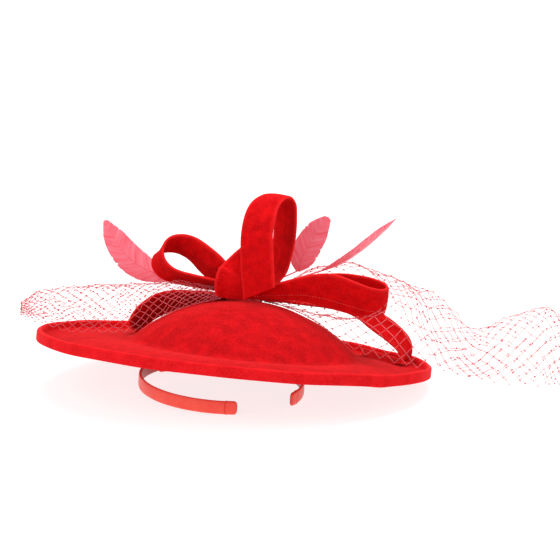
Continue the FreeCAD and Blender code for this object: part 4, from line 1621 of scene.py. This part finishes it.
@dataclass
class Studio:
    """A pale floor, soft light and a long lens from just above table height."""

    hat: HatFrame
    elevation_deg: float = 12.0
    distance: float = 6.0
    view_width: float = 0.4312
    look_side: float = 0.035
    look_up: float = 0.0524

    def camera(self) -> None:
        """Sets the camera."""
        data = bpy.data.cameras.new("camera")
        data.sensor_width = 36.0
        data.lens = data.sensor_width * self.distance / self.view_width
        data.clip_end = 100.0
        camera = bpy.data.objects.new("camera", data)
        bpy.context.scene.collection.objects.link(camera)
        tilt = math.radians(self.elevation_deg)
        up = Vector((0.0, math.sin(tilt), math.cos(tilt)))
        target = self.hat.origin + Vector((self.look_side, 0.0, 0.0)) + up * self.look_up
        back = Vector((0.0, -math.cos(tilt), math.sin(tilt)))
        camera.location = target + back * self.distance
        camera.rotation_euler = (math.pi / 2 - tilt, 0.0, 0.0)
        bpy.context.scene.camera = camera

    def light(self, name: str, place: Point, size: float, power: float) -> None:
        """Hangs a soft square light that faces the object."""
        data = bpy.data.lights.new(name, "AREA")
        data.shape = "SQUARE"
        data.size = size
        data.energy = power
        lamp = bpy.data.objects.new(name, data)
        bpy.context.scene.collection.objects.link(lamp)
        lamp.location = place
        lamp.rotation_euler = (Vector((0, 0, 0.05)) - Vector(place)).to_track_quat("-Z", "Y").to_euler()

    def floor(self) -> None:
        """Lays the floor."""
        floor = mesh_object("floor", [Vector((x, y, -0.0002)) for x, y in
                                      ((-30, -30), (30, -30), (30, 30), (-30, 30))], [(0, 1, 2, 3)])
        material, _, shader = new_material("white studio floor")
        shader.inputs["Base Color"].default_value = (0.35, 0.35, 0.35, 1.0)
        shader.inputs["Roughness"].default_value = 1.0
        shader.inputs["Specular IOR Level"].default_value = 0.0
        shader.inputs["Emission Color"].default_value = (1.0, 1.0, 1.0, 1.0)
        shader.inputs["Emission Strength"].default_value = 0.8
        floor.data.materials.append(material)

    def build(self) -> None:
        """Builds the studio."""
        world = bpy.data.worlds.new("studio")
        world.use_nodes = True
        world.node_tree.nodes["Background"].inputs["Color"].default_value = (1.0, 1.0, 1.0, 1.0)
        world.node_tree.nodes["Background"].inputs["Strength"].default_value = 0.55
        bpy.context.scene.world = world
        bpy.context.scene.view_settings.view_transform = "Standard"
        self.floor()
        self.light("top_softbox", (0.1, 0.35, 1.3), 1.1, 17.0)
        self.light("left_softbox", (-1.0, -0.9, 0.9), 0.9, 8.0)
        self.light("right_softbox", (1.2, -0.6, 0.8), 0.9, 4.0)
        self.camera()


def main() -> None:
    """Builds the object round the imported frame."""
    logging.basicConfig(level=logging.INFO, format="%(name)s: %(message)s")
    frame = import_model()
    hat = HatFrame.from_record(frame["record"])
    wardrobe = Wardrobe()
    trees = Trees()
    Studio(hat).build()
    Saucer(hat, wardrobe).build()
    Crown(hat, wardrobe).build()
    Bow(hat, wardrobe, trees).build()
    Feathers(hat, wardrobe, trees).build()
    Veil(hat, wardrobe, trees).build()
    Headband.from_frame(frame, hat, wardrobe, trees).build()
    dress_inner_pieces(frame, wardrobe)


if __name__ == "__main__":
    main()
